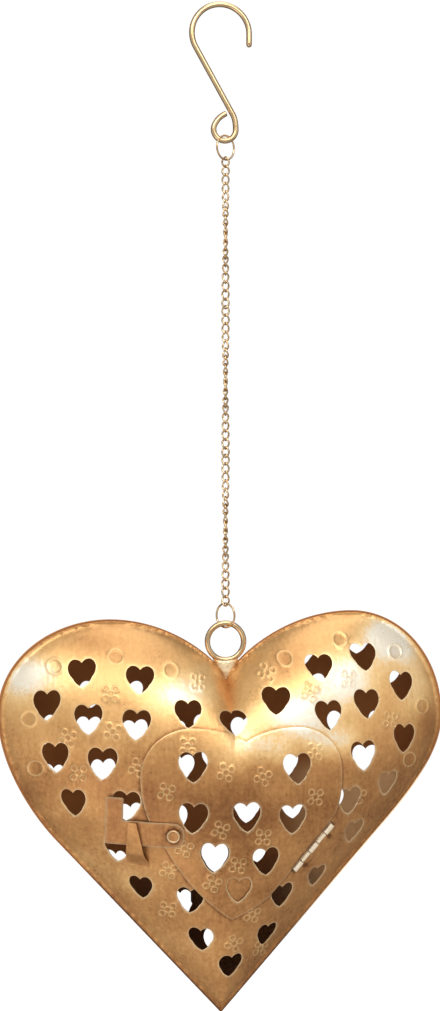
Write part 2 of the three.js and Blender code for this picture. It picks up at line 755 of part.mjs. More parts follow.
function cupBracket() {
  const half = bracketWidth / 2;
  const placed = frameOn(bracketLegMiddle, 0, 0, true);
  const outer = -clearance;
  const cutter = boxSolid([-half, -bracketLeg / 2, -5], [half, bracketLeg / 2, 5], placed);
  const leg = heartSheet(outer - bracketSheet, outer, 0, true).intersect(cutter);
  const top = cupUnder - clearance;
  const back = -onDome(...bracketLegMiddle, 0).y;
  const strip = boxSolid([-half, bracketFront, top - bracketSheet], [half, back, top]);
  const beyond = heartSheet(outer - bracketSheet / 2, 6 * sheet, 0, true);
  const holes = joined(bracketRivetFrames.map(rivetHole));
  return joined([leg, strip.subtract(beyond)]).subtract(holes);
}

// The ring that the lantern hangs from, with the weld bead that fills the heart's notch under it
function hangingRing() {
  const height = hangingRingToNotch + hangingRingDiameter / 2;
  const ring = solidOf(
    ringGeometry(hangingRingDiameter, hangingRingWire, 10, 32).translate(0, 0, height),
  );
  const [nx] = heart.notch;
  const top = hangingRingToNotch + hangingRingWire / 2;
  const bead = [
    [nx, backLip + 2 * clearance],
    [nx - weldHalfWidth, hangingRingToNotch],
    [nx - weldHalfWidth / 2, top],
    [nx + weldHalfWidth / 2, top],
    [nx + weldHalfWidth, hangingRingToNotch],
  ].map(([x, z]) => new THREE.Vector2(x, z));
  return ring.add(prismSolid(bead, -weldThickness / 2, weldThickness / 2));
}

function meshOf(name, geometry, material) {
  const made = new THREE.Mesh(geometry, material);
  made.name = name;
  return made;
}

function jumpRing(name, height, turn) {
  const made = meshOf(name, ringGeometry(jumpRingDiameter, jumpRingWire, 6, 24), goldWire);
  made.rotation.z = radians(turn);
  made.position.z = height;
  return made;
}

const lantern = new THREE.Group();
lantern.position.z = notchZ;
const latchStack = [doorLow, strapHigh, latchRivetHead, latchHeadHeight];
const lanternPieces = {
  hanging_ring: [hangingRing(), goldWire],
  front_shell: [frontShell(), goldSheet],
  back_shell: [backShell(), goldSheet],
  door_panel: [doorPanel(), goldSheet],
  hinge_body_leaf: [hingeHalfSolid(-clearance - hingeLeaf, false), paleBrass],
  hinge_door_leaf: [hingeHalfSolid(doorLow - clearance - hingeLeaf, true), paleBrass],
  hinge_pin: [pinSolid(), paleBrass],
  latch_strap: [latchStrap(), goldSheet],
  latch_rivet: [
    rivetSolid(...latchStack, latchRivetShank, latchRivetTail, latchFrame),
    goldSheet,
  ],
  tealight_cup: [candleCup(), darkGold],
  cup_bracket: [cupBracket(), darkGold],
};
for (const [name, [solid, material]] of Object.entries(lanternPieces)) {
  lantern.add(meshOf(name, geometryOf(solid), material));
}
const smallRivet = [rivetHead, rivetHeadHeight, rivetShank, rivetHead];
hingeRivetFrames.forEach((placed, i) => {
  const low = -clearance - hingeLeaf;
  const solid = rivetSolid(low, sheet, ...smallRivet, placed);
  lantern.add(meshOf(`hinge_rivet_${i + 1}`, geometryOf(solid), goldSheet));
});
bracketRivetFrames.forEach((placed, i) => {
  const low = -clearance - bracketSheet;
  const solid = rivetSolid(low, sheet, ...smallRivet, placed);
  lantern.add(meshOf(`bracket_rivet_${i + 1}`, geometryOf(solid), goldSheet));
});

const hangingLantern = new THREE.Group();
hangingLantern.add(
  meshOf("s_hook", hookGeometry(), goldWire),
  jumpRing("upper_jump_ring", upperRingZ, upperRingTurn),
);
for (let run = 0; run < linkCount / linksPerRun; run++) {
  hangingLantern.add(meshOf(`chain_run_${run + 1}`, chainRunGeometry(run), goldWire));
}
hangingLantern.add(jumpRing("lower_jump_ring", lowerRingZ, lowerRingTurn), lantern);

export default hangingLantern;
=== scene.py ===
import bpy
import math
import numpy as np
from mathutils.geometry import delaunay_2d_cdt
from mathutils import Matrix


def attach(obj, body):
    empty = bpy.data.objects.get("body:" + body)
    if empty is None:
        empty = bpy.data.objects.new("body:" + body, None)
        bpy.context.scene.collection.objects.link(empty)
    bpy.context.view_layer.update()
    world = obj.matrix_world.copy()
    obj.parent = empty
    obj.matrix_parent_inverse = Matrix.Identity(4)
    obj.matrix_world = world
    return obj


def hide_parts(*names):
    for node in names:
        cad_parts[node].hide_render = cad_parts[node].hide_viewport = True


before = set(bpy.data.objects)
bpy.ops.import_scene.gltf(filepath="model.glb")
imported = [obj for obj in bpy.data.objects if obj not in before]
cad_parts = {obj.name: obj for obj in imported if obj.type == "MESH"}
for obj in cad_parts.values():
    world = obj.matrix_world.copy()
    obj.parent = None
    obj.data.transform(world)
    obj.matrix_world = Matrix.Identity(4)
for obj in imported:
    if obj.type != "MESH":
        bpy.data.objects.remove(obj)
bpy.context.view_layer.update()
print("frame loaded")

# Lengths of the pieces are in millimetres, and become metres when a mesh is made.
# Heart places are x and z from the bottom of the heart's notch, as seen from the front.

# Camera, as the photograph was taken
photo = {
    "width": 440,
    "height": 1011,
    "scale": 0.615,  # mm for each pixel, at the lantern's middle plane
    "distance": 1400,
    "turn": 9,  # degrees that the camera stands to the left of the heart's front
    "level": -306,  # height of the camera
    "aside": -3.4,
}


def makeCamera():
    turn = math.radians(photo["turn"])
    half = photo["height"] * photo["scale"] / 2
    made = bpy.data.cameras.new("photoCamera")
    made.sensor_fit = "VERTICAL"
    made.sensor_height = 24
    made.lens = 12 * photo["distance"] / half
    made.clip_end = 30
    place = bpy.data.objects.new("photoCamera", made)
    across = np.array([math.cos(turn), -math.sin(turn)])
    along = np.array([math.sin(turn), math.cos(turn)])
    x, y = photo["aside"] * across - photo["distance"] * along
    place.location = (x / 1000, y / 1000, photo["level"] / 1000)
    place.rotation_euler = (math.pi / 2, 0, -turn)
    bpy.context.collection.objects.link(place)
    bpy.context.scene.camera = place


makeCamera()


# The sheets' form. A lobe's widest place and the start of its straight side set its curves.
heart = {
    "notch": (0.3, 0),
    "left": {"top": (-71.4, 34.5), "wide": (-138.3, -22), "straight": (-103, -98.5)},
    "right": {"top": (78.2, 39), "wide": (135.3, -26), "straight": (88.5, -102.7)},
    "tip": (-2.8, -205.3),
}
notchHeight = -411.102  # of the heart's notch in the whole model, as the chain's length sets it
clearance = 0.3  # between two pieces
sheet = 0.7  # thickness of the shells and the door
dome = {
    "depth": 42,
    "roundness": 2.2,
    "fullness": 0.85,
    "smoothing": 36,  # degrees each way over which the rim is smoothed for the dome's middle
    "flange": 2.4,
    "levelFrom": 0.955,  # share of the way out where a sheet starts to turn level
    "levelBlend": 0.028,
    "backLip": 1.2,  # how far the back sheet's rim stands out beyond the front's
    "meanReach": 118,  # mean distance from the centre to the rim
    "centre": (0, -76),
    "dents": 0.42,  # depth of the broad hammer dents
    "dentSize": 23,
    "fineDents": 0.16,
    "fineDentSize": 8,
    "calmRim": 2,  # width of the rim without dents
    "calmBlend": 16,  # width over which they reach their depth
}


def smoothStep(t):
    t = np.clip(t, 0, 1)
    return t * t * (3 - 2 * t)


# The angles of a full turn in equal steps
def fullTurn(steps):
    return 2 * math.pi * np.arange(steps) / steps


# Points on a circle, or on its arc between two angles in degrees
def circleLoop(middle, radius, count, start=0, end=360):
    turn = np.radians(np.linspace(start, end, count, endpoint=False))
    return np.array(middle) + radius * np.stack([np.cos(turn), np.sin(turn)], 1)


# A line, or a curve of the second or third degree: its control points weighted by binomial polynomials
def curvePoints(controls, steps):
    t = np.linspace(0, 1, steps, endpoint=False)[:, None]
    order = len(controls) - 1
    return sum(
        math.comb(order, k) * (1 - t) ** (order - k) * t**k * np.array(control)
        for k, control in enumerate(controls)
    )


# Curves one after the other, each given by its control points and its number of points
def joinedCurves(curves):
    return np.concatenate([curvePoints(controls, steps) for controls, steps in curves])


# A loop of straight sides, with a number of points on each
def straightLoop(corners, counts):
    return joinedCurves(zip(zip(corners, corners[1:] + corners[:1]), counts))


# Half a heart: from the notch over the lobe's top and its widest place to the straight side and the
# tip. The shares of 0.16 to 0.58 place the handles of the curves.
def halfHeart(shape, side, steps):
    (nx, nz), (px, pz) = shape["notch"], shape["tip"]
    (tx, tz), (wx, wz), (sx, sz) = side["top"], side["wide"], side["straight"]
    length = math.hypot(px - sx, pz - sz)
    back = 0.3 * math.hypot(sx - wx, sz - wz) / length
    bulge = math.copysign(side.get("bulge", 0), sx - px) / length
    curves = [
        [(nx, nz), (nx + 0.16 * (tx - nx), nz + 0.46 * (tz - nz)), (tx - 0.46 * (tx - nx), tz), (tx, tz)],
        [(tx, tz), (tx + 0.53 * (wx - tx), tz), (wx, wz + 0.58 * (tz - wz)), (wx, wz)],
        [(wx, wz), (wx, wz - 0.36 * (wz - sz)), (sx - back * (px - sx), sz - back * (pz - sz)), (sx, sz)],
        [(sx, sz), ((sx + px) / 2 - bulge * (pz - sz), (sz + pz) / 2 + bulge * (px - sx)), (px, pz)],
    ]
    return joinedCurves(zip(curves, steps))


# A closed heart: from its notch down the right side to the tip and up the left side
def heartLoop(shape, steps):
    right = halfHeart(shape, shape["right"], steps)
    left = halfHeart(shape, shape["left"], steps)
    return np.concatenate([right, [shape["tip"]], left[:0:-1]])


# The directions of a loop's points from the dome's centre, in order, and how far away each point is
def polarTable(loop, less):
    away = loop - np.array(dome["centre"])
    angles = np.arctan2(away[:, 1], away[:, 0])
    lengths = np.hypot(away[:, 0], away[:, 1]) - less
    order = np.argsort(angles)
    return angles[order], lengths[order]


footTable = polarTable(heartLoop(heart, [24, 24, 20, 30]), dome["flange"])
rimTable = polarTable(heartLoop(heart, [60, 60, 40, 60]), 0)


def reachAt(angle, table=footTable):
    return np.interp(angle, *table, period=2 * math.pi)


# Height of the dome over its rim: depth * (1 - level^roundness)^fullness. The level is the share of the
# way from the centre to the rim, measured to a smoothed rim in the middle and to the true rim outside.
def domeHeight(x, z):
    dx, dz = x - dome["centre"][0], z - dome["centre"][1]
    far, angle = np.hypot(dx, dz), np.arctan2(dz, dx)
    share = np.minimum(far / reachAt(angle), 1)
    steps = range(-6, 7)
    spread = math.radians(dome["smoothing"]) / steps[-1]
    smoothReach = sum(reachAt(angle + spread * step) for step in steps) / len(steps)
    mix = smoothStep(share)
    level = np.clip((1 - mix) * far / smoothReach + mix * share, 0, 1)
    return dome["depth"] * (1 - level ** dome["roundness"]) ** dome["fullness"]


# Random heights at the corners of square cells, joined by smooth steps
def softNoise(x, z, cell, seed):
    cells = 64
    table = np.random.RandomState(seed).rand(cells, cells)
    ix, iz = np.floor(x / cell).astype(int), np.floor(z / cell).astype(int)
    fx, fz = smoothStep(x / cell - ix), smoothStep(z / cell - iz)
    left, right = ix % cells, (ix + 1) % cells
    rows = (iz % cells, (iz + 1) % cells)
    low, high = (table[left, row] * (1 - fx) + table[right, row] * fx for row in rows)
    return low * (1 - fz) + high * fz


calmPlaces = [((48.7, -101.5), 26), ((-45, -90), 30)]  # hinge and latch, where no dent lies


# The dome's height less its hammer dents
def skinHeight(x, z):
    dx, dz = x - dome["centre"][0], z - dome["centre"][1]
    room = reachAt(np.arctan2(dz, dx)) - np.hypot(dx, dz)
    calm = smoothStep((room - dome["calmRim"]) / dome["calmBlend"])
    for (px, pz), radius in calmPlaces:
        calm = calm * smoothStep(np.hypot(x - px, z - pz) / radius - 0.5)
    broad = dome["dents"] * softNoise(x, z, dome["dentSize"], 3)
    fine = dome["fineDents"] * softNoise(x, z, dome["fineDentSize"], 4)
    return domeHeight(x, z) - calm * (broad + fine)


# A point of a sheet: the dome's point, moved along its normal. On the flat flange the normal is level.
def onSkin(places, off, back=False, height=skinHeight):
    x, z = places[..., 0], places[..., 1]
    step = 0.8
    slopeX = (height(x + step, z) - height(x - step, z)) / (2 * step)
    slopeZ = (height(x, z + step) - height(x, z - step)) / (2 * step)
    dx, dz = x - dome["centre"][0], z - dome["centre"][1]
    share = np.hypot(dx, dz) / reachAt(np.arctan2(dz, dx), rimTable)
    flat = smoothStep((share - dome["levelFrom"]) / dome["levelBlend"])
    length = np.sqrt(slopeX**2 + 1 + slopeZ**2)
    normal = np.stack([-slopeX / length, -1 / length, -slopeZ / length], -1) * (1 - flat)[..., None]
    normal[..., 1] -= flat
    normal /= np.linalg.norm(normal, axis=-1, keepdims=True)
    base = np.stack([x, -clearance / 2 - height(x, z), z + notchHeight], -1)
    made = base + normal * np.broadcast_to(off, x.shape)[..., None]
    return made * (1, -1, 1) if back else made


# Three directions and an origin on the dome: along leans up from level, out points away from the sheet
def frameOn(place, off=0, lean=0, back=False):
    place = np.array(place, float)
    base, over = (onSkin(place, value, back, domeHeight) for value in (off, off + 1))
    out = over - base
    along = np.array([math.cos(math.radians(lean)), 0, math.sin(math.radians(lean))])
    along -= along.dot(out) * out
    along /= np.linalg.norm(along)
    return {"origin": base, "axes": np.array([along, np.cross(out, along), out])}


def inFrame(where, local):
    return where["origin"] + local @ where["axes"]


# The faces between rows and columns of points, which close up where they wrap
def gridFaces(rows, columns, wrapRows=False, wrapColumns=False):
    r = np.arange(rows if wrapRows else rows - 1)
    c = np.arange(columns if wrapColumns else columns - 1)
    r, c = np.meshgrid(r, c, indexing="ij")
    nextR, nextC = (r + 1) % rows, (c + 1) % columns
    corners = [r * columns + c, r * columns + nextC, nextR * columns + nextC, nextR * columns + c]
    return np.stack(corners, -1).reshape(-1, 4)


# The faces of a tube of rings. Where it isn't closed on itself, a flat face closes each end.
def tubeFaces(rows, sides, closed):
    faces = gridFaces(rows, sides, closed, True).tolist()
    if not closed:
        last = (rows - 1) * sides
        faces += [list(range(sides))[::-1], list(range(last, last + sides))]
    return faces


# A part is its points, its faces, the number of each face's finish, and its marks: values at the
# points that the finishes read
def part(points, faces, finish=0, **marks):
    return {"points": np.reshape(points, (-1, 3)), "faces": faces, "finish": finish, "marks": marks}


# One object of several parts, which takes the place of a node of the frame
def makePiece(name, node, parts, finishes, body="lantern"):
    points, faces, numbers, start = [], [], [], 0
    for one in parts:
        points.append(one["points"])
        faces += [[corner + start for corner in face] for face in one["faces"]]
        numbers.append(np.broadcast_to(one["finish"], len(one["faces"])))
        start += len(one["points"])
    mesh = bpy.data.meshes.new(name)
    mesh.from_pydata((np.concatenate(points) / 1000).tolist(), [], faces)
    mesh.polygons.foreach_set("material_index", np.concatenate(numbers).astype(np.int32))
    for mark in sorted({key for one in parts for key in one["marks"]}):
        values = [np.broadcast_to(one["marks"].get(mark, 0.0), len(one["points"])) for one in parts]
        layer = mesh.attributes.new(mark, "FLOAT", "POINT")
        layer.data.foreach_set("value", np.concatenate(values).astype(np.float32))
    mesh.polygons.foreach_set("use_smooth", np.ones(len(mesh.polygons), bool))
    mesh.set_sharp_from_angle(angle=math.radians(35))
    mesh.validate()
    made = bpy.data.objects.new(name, mesh)
    bpy.context.collection.objects.link(made)
    for finish in finishes:
        mesh.materials.append(finish)
    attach(made, body)
    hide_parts(node)


# A round wire: at each point of a path a ring of the wire's radius, square to the path. The hint is a
# direction, or one for each point, that the first point of a ring turns to.
def wirePart(path, radius, sides, closed, hint, finish=0):
    ahead = np.roll(path, -1, 0)
    behind = np.roll(path, 1, 0)
    if not closed:
        ahead[-1], behind[0] = path[-1], path[0]
    along = ahead - behind
    along /= np.linalg.norm(along, axis=1, keepdims=True)
    face = np.broadcast_to(np.asarray(hint, float), path.shape)
    face = face - (face * along).sum(1, keepdims=True) * along
    face /= np.linalg.norm(face, axis=1, keepdims=True)
    side = np.cross(along, face)
    turn = fullTurn(sides)
    ring = np.cos(turn)[:, None] * face[:, None, :] + np.sin(turn)[:, None] * side[:, None, :]
    radii = np.broadcast_to(np.asarray(radius, float), len(path))
    grid = path[:, None, :] + radii[:, None, None] * ring
    return part(grid, tubeFaces(len(path), sides, closed), finish)


# A turned part: a profile of radii and heights carried round a frame's own out axis
def turnedPart(profile, steps, where, closed=False):
    radii, heights = np.array(profile, float).T[..., None]
    turn = fullTurn(steps)
    local = np.stack([radii * np.cos(turn), radii * np.sin(turn), heights + 0 * turn], -1)
    return part(inFrame(where, local), tubeFaces(len(profile), steps, closed))


# A slab between two grids of points, closed round its four sides. Seen with the upper grid in front, its
# faces point outwards where the columns run to the right of the rows, and inwards where they run to the
# left. Mirrored turns that round.
def slabPart(upper, lower, mirrored=False):
    if mirrored:
        upper, lower = upper[:, ::-1], lower[:, ::-1]
    rows, columns = upper.shape[:2]
    faces = gridFaces(rows, columns)
    count = rows * columns
    index = np.arange(count).reshape(rows, columns)
    rim = np.concatenate([index[0], index[1:, -1], index[-1, -2::-1], index[-2:0:-1, 0]])
    ahead = np.roll(rim, -1)
    walls = np.stack([rim, rim + count, ahead + count, ahead], -1)
    every = np.concatenate([faces, faces[:, ::-1] + count, walls])
    return part(np.concatenate([upper.reshape(-1, 3), lower.reshape(-1, 3)]), every.tolist())


# Which places lie inside a loop: a line to the right of them crosses it an odd number of times
def insideLoop(places, loop):
    found = np.zeros(len(places), bool)
    near = ((places >= loop.min(0)) & (places <= loop.max(0))).all(1)
    x, z = places[near, 0, None], places[near, 1, None]
    (ax, az), (bx, bz) = loop.T, np.roll(loop, -1, 0).T
    spans = (az > z) != (bz > z)
    rise = np.where(bz == az, 1, bz - az)
    found[near] = (spans & (x < ax + (z - az) * (bx - ax) / rise)).sum(1) % 2 == 1
    return found


# How far each place is from the nearest point of a loop, or the most where it is farther
def gapToLoop(places, loop, most=3):
    gaps = np.full(len(places), float(most))
    near = ((places >= loop.min(0) - most) & (places <= loop.max(0) + most)).all(1)
    apart = np.hypot(*(places[near, None, :] - loop[None, :, :]).transpose(2, 0, 1))
    gaps[near] = np.minimum(apart.min(1), most)
    return gaps


# A loop moved sideways by a distance, outwards where it is positive
def grownLoop(loop, distance):
    along = np.roll(loop, -1, 0) - np.roll(loop, 1, 0)
    side = np.stack([along[:, 1], -along[:, 0]], 1) / np.linalg.norm(along, axis=1, keepdims=True)
    around = np.sum(loop[:, 0] * np.roll(loop[:, 1], -1) - loop[:, 1] * np.roll(loop[:, 0], -1))
    return loop + side * distance * np.sign(around)


# A flat cover of triangles over an outline less its holes. Points lie on a grid of equal triangles,
# and more closely along the outline, the holes and the stamps.
def flatCover(outline, holes, spacing, dots=()):
    band = 0.5  # from an edge to the row of points beside it
    low, high = outline.min(0), outline.max(0)
    rows = np.arange(low[1], high[1], spacing * math.sqrt(0.75))
    columns = np.arange(low[0], high[0], spacing)
    x, z = np.meshgrid(columns, rows)
    x = x + np.where(np.arange(len(rows)) % 2, spacing / 2, 0)[:, None]
    grid = np.stack([x.ravel(), z.ravel()], 1)
    loops = [outline, *holes]
    keep = insideLoop(grid, outline)
    for loop in loops:
        keep &= gapToLoop(grid, loop) > band + 0.35 * spacing
    if len(dots):
        keep &= gapToLoop(grid, dots) > band
    beside = [grownLoop(outline, -band), *[grownLoop(hole, band) for hole in holes]]
    loose = np.concatenate([grid[keep], *beside, np.reshape(dots, (-1, 2))])
    sides, start = [], len(loose)
    for loop in loops:
        index = np.arange(len(loop)) + start
        sides += np.stack([index, np.roll(index, -1)], 1).tolist()
        start += len(loop)
    every = np.concatenate([loose, *loops])
    found = delaunay_2d_cdt(every.tolist(), sides, [], 0, 1e-5)
    places, triangles = np.array(found[0]), np.array(found[2])
    middles = places[triangles].mean(1)
    wanted = insideLoop(middles, outline)
    for hole in holes:
        wanted &= ~insideLoop(middles, hole)
    triangles = triangles[wanted]
    used, triangles = np.unique(triangles, return_inverse=True)
    places, triangles = places[used], triangles.reshape(-1, 3)
    a, b, c = (places[triangles[:, k]] for k in range(3))
    turned = (b - a)[:, 0] * (c - a)[:, 1] - (b - a)[:, 1] * (c - a)[:, 0] < 0
    triangles[turned] = triangles[turned][:, ::-1]
    return places, triangles


# A sheet over a flat cover. Each place gets an upper and a lower point, and walls close every edge.
# place(places, off) gives the points in space. The edges are rounded by lowering their points. The
# finishes are the outer side's, the walls' and the inner side's.
def sheetPart(cover, low, high, place, marks, back=False, rounding=0.16, raised=0):
    places, triangles = cover
    count = len(places)
    ways = np.concatenate([triangles[:, [0, 1]], triangles[:, [1, 2]], triangles[:, [2, 0]]])
    codes = ways[:, 0] * count + ways[:, 1]
    rim = ways[~np.isin(codes, ways[:, 1] * count + ways[:, 0])]
    edge = np.zeros(count)
    edge[np.unique(rim)] = rounding
    upper = place(places, high - edge + raised)
    lower = place(places, low + edge * 0.5 + raised)
    walls = np.stack([rim[:, 0], rim[:, 0] + count, rim[:, 1] + count, rim[:, 1]], 1)
    under = triangles[:, ::-1] + count
    if back:
        triangles, under, walls = triangles[:, ::-1], under[:, ::-1], walls[:, ::-1]
    faces = triangles.tolist() + walls.tolist() + under.tolist()
    finish = np.repeat([0, 1, 2], [len(triangles), len(walls), len(under)])
    doubled = {name: np.tile(values, 2) for name, values in marks.items()}
    return part(np.concatenate([upper, lower]), faces, finish, **doubled)


print("helpers ready")


# Finishes. Their places are in metres from the hook's hanging point.
class Value:
    # An output socket. Sums and products of it add Math nodes.
    def __init__(self, tree, socket):
        self.tree, self.socket = tree, socket

    def math(self, operation, first, second):
        made = self.tree.nodes.new("ShaderNodeMath")
        made.operation = operation
        for place, value in enumerate((first, second)):
            if isinstance(value, Value):
                self.tree.links.new(value.socket, made.inputs[place])
            else:
                made.inputs[place].default_value = value
        return Value(self.tree, made.outputs[0])

    def __add__(self, other):
        return self.math("ADD", self, other)

    def __sub__(self, other):
        return self.math("SUBTRACT", self, other)

    def __rsub__(self, other):
        return self.math("SUBTRACT", other, self)

    def __mul__(self, other):
        return self.math("MULTIPLY", self, other)

    __radd__, __rmul__ = __add__, __mul__


# The nodes of a material or of the world, and the shader that they feed
class Nodes:
    def __init__(self, tree, shader):
        self.tree = tree
        self.shader = tree.nodes[shader]

    def feed(self, socket, value):
        self.tree.links.new(value.socket, self.shader.inputs[socket])

    def node(self, kind, settings=None, values=None, output=0):
        made = self.tree.nodes.new("ShaderNode" + kind)
        for setting, value in (settings or {}).items():
            if setting == "stops":
                ramp = made.color_ramp
                while len(ramp.elements) < len(value):
                    ramp.elements.new(0.5)
                for element, (position, colour) in zip(ramp.elements, value):
                    element.position, element.color = position, colour
            else:
                setattr(made, setting, value)
        for socket, value in (values or {}).items():
            if isinstance(value, Value):
                self.tree.links.new(value.socket, made.inputs[socket])
            else:
                made.inputs[socket].default_value = value
        return Value(self.tree, made.outputs[output])

    def noise(self, places, scale, detail=3.0, roughness=0.5):
        values = {"Vector": places, "Scale": scale, "Detail": detail, "Roughness": roughness}
        return self.node("TexNoise", values=values)

    # A mark that the mesh carries at its points
    def mark(self, name):
        return self.node("Attribute", {"attribute_name": name}, output="Fac")

    def axes(self, places, wanted):
        return [self.node("SeparateXYZ", values={0: places}, output=axis) for axis in wanted]

    def stretched(self, places, turn, scale):
        values = {"Vector": places, "Rotation": turn, "Scale": scale}
        return self.node("Mapping", values=values)

    def eased(self, value, low, high):
        values = {"Value": value, "From Min": low, "From Max": high}
        return self.node("MapRange", {"interpolation_type": "SMOOTHSTEP"}, values)

    def blend(self, factor, first, second, kind="MIX"):
        settings = {"data_type": "RGBA", "blend_type": kind}
        return self.node("Mix", settings, {0: factor, 6: first, 7: second}, output=2)


class Finish(Nodes):
    def __init__(self, name, **fixed):
        self.material = bpy.data.materials.new(name)
        self.material.use_nodes = True
        super().__init__(self.material.node_tree, "Principled BSDF")
        for socket, value in fixed.items():
            self.shader.inputs[socket.replace("_", " ")].default_value = value

    def places(self):
        return self.node("TexCoord", output="Object")

    # The colour, the roughness, and the height, strength and distance of the bumps
    def dress(self, colour, roughness, *bump):
        self.feed("Base Color", colour)
        self.feed("Roughness", roughness)
        values = dict(zip(("Height", "Strength", "Distance"), bump))
        self.feed("Normal", self.node("Bump", values=values))
        return self.material


# From the 0 to 255 values of a picture to the renderer's linear ones
def rgb(red, green, blue):
    return (*(((c / 255 + 0.055) / 1.055) ** 2.4 for c in (red, green, blue)), 1)


goldLook = {
    "stops": [
        (0.05, rgb(104, 64, 32)), (0.27, rgb(158, 106, 60)), (0.47, rgb(198, 143, 86)),
        (0.67, rgb(233, 184, 120)), (0.8, rgb(250, 210, 150)), (0.96, rgb(255, 244, 222)),
    ],
    "lowTone": 0.4,  # place on the colours above, low on the heart and high on it, where painted light makes the upper lobes lighter
    "litHighTone": 0.585,
    "litHighFrom": (-0.485, -0.425),  # metres over which the one goes over into the other
    "metallic": 0.58,
    "roughness": 0.34,
    # A painted highlight on the stamps' crests and painted shade in their sunk middles
    "crest": rgb(255, 222, 160),
    "pit": rgb(150, 98, 50),
    # A painted highlight along the cut edges of holes, doors and straps
    "rim": rgb(255, 234, 190),
}


# The tone is a mottling of four noises, from broad clouds to specks, that grows weaker upwards, plus
# painted
# light: a lighter tone high on the heart, where it faces the light, painted shade low on the right, and the
# painted highlights and shade of the glow mark. Crests get a painted highlight over it, pits painted shade,
# and rims of holes a painted highlight.
def goldSheetFinish():
    look = goldLook
    made = Finish("goldSheet", Metallic=look["metallic"])
    places = made.places()
    x, z = made.axes(places, "XZ")
    broad = made.noise(places, 17, 4, 0.55)
    cloud = made.noise(places, 55, 5, 0.6)
    brushed = made.noise(made.stretched(places, (0, 0.45, 0), (520, 150, 60)), 1, 3, 0.6)
    speck = made.noise(places, 420, 4, 0.6)
    mottle = broad * 0.2 + cloud * 0.3 + brushed * 0.16 + speck * 0.34 - 0.5
    high = made.eased(z, *look["litHighFrom"])
    # Painted shade: the gold is darker low on the right, turned away from the light
    shadeRightLow = made.eased(x * 0.6 - z, 0.44, 0.62)
    tone = mottle * (1 - high * 0.4) + look["lowTone"] + high * (look["litHighTone"] - look["lowTone"])
    tone = tone - shadeRightLow * 0.06 + made.mark("glow")
    colour = made.node("ValToRGB", {"stops": look["stops"]}, {"Fac": tone})
    # Painted highlight on crests, painted shade in pits, painted highlight on the rims of holes
    colour = made.blend(made.mark("crest") * (0.15 + cloud * 0.6), colour, look["crest"])
    colour = made.blend(made.mark("pit") * 0.22, colour, look["pit"])
    colour = made.blend(made.mark("rim") * 0.8, colour, look["rim"])
    roughness = look["roughness"] + (cloud - 0.5) * 0.35 + (speck - 0.5) * 0.2
    return made.dress(colour, roughness, cloud * 0.5 + brushed * 0.3 + speck * 0.25, 0.5, 0.0009)


def cutEdgeFinish():
    made = Finish("cutEdge", Metallic=0.35)
    grain = made.noise(made.places(), 300, 3)
    colour = made.blend(grain, rgb(226, 184, 130), rgb(166, 116, 72))
    return made.dress(colour, 0.3 + grain * 0.2, grain, 0.3, 0.0002)


# Brown inside, with painted shade low down, where little light reaches inside, and painted light at the
# lower right, where light falls on the inner side
def innerSheetFinish():
    made = Finish("innerSheet", Metallic=0.3)
    places = made.places()
    x, z = made.axes(places, "XZ")
    cloud = made.noise(places, 40, 4, 0.6)
    soot = made.noise(places, 260, 4, 0.6)
    colour = made.blend(cloud * 0.7 + soot * 0.3, rgb(142, 82, 30), rgb(190, 126, 66))
    # Painted shade low down inside
    colour = made.blend(made.eased(0 - z, 0.51, 0.55) * 0.75, colour, rgb(66, 34, 12))
    litLowerRight = made.eased(x, 0.03, 0.08) * made.eased(0 - z, 0.462, 0.478)
    colour = made.blend(litLowerRight, colour, rgb(255, 214, 158))
    return made.dress(colour, 0.5 + soot * 0.3, soot, 0.4, 0.0004)


def goldWireFinish():
    made = Finish("goldWire", Metallic=1)
    places = made.places()
    cloud = made.noise(places, 90, 4, 0.6)
    speck = made.noise(places, 700, 3, 0.6)
    colour = made.blend(cloud, rgb(252, 226, 182), rgb(206, 160, 108))
    return made.dress(colour, 0.16 + speck * 0.14, cloud, 0.08, 0.0002)


# Painted light on the weld bead: a cream painted highlight in its middle and painted shade in brown at its
# sides
def weldFinish():
    made = Finish("weldBead", Metallic=0.5)
    places = made.places()
    lump = made.noise(places, 500, 4, 0.6)
    [x] = made.axes(places, "X")
    side = made.eased(x * x, 0.000006, 0.00004)
    middle = made.blend(lump, rgb(255, 246, 214), rgb(232, 192, 136))
    colour = made.blend(side, middle, rgb(206, 154, 98))
    return made.dress(colour, 0.2 + lump * 0.25, lump, 0.8, 0.0008)


def hingeFinish():
    made = Finish("hingeMetal", Metallic=0.4)
    rub = made.noise(made.stretched(made.places(), (0, 0.88, 0), (900, 900, 160)), 1, 3, 0.6)
    colour = made.blend(rub, rgb(255, 246, 226), rgb(220, 190, 148))
    return made.dress(colour, 0.2 + rub * 0.2, rub, 0.3, 0.0002)


# A dark brown metal for the cup, its bracket and the hinge pin, which is also painted shade on the hinge
# leaves in the gap beside the barrel
def darkSheetFinish():
    made = Finish("darkSheetAndShade", Metallic=0.5)
    places = made.places()
    cloud = made.noise(places, 60, 4, 0.6)
    speck = made.noise(places, 500, 3, 0.6)
    colour = made.blend(cloud, rgb(92, 62, 36), rgb(150, 108, 66))
    return made.dress(colour, 0.4 + speck * 0.25, speck, 0.3, 0.0003)


goldSheet = goldSheetFinish()
cutEdge = cutEdgeFinish()
innerSheet = innerSheetFinish()
goldWire = goldWireFinish()
weldBead = weldFinish()
hingeMetal = hingeFinish()
darkSheetAndShade = darkSheetFinish()
sheetFinishes = [goldSheet, cutEdge, innerSheet]
print("finishes ready")


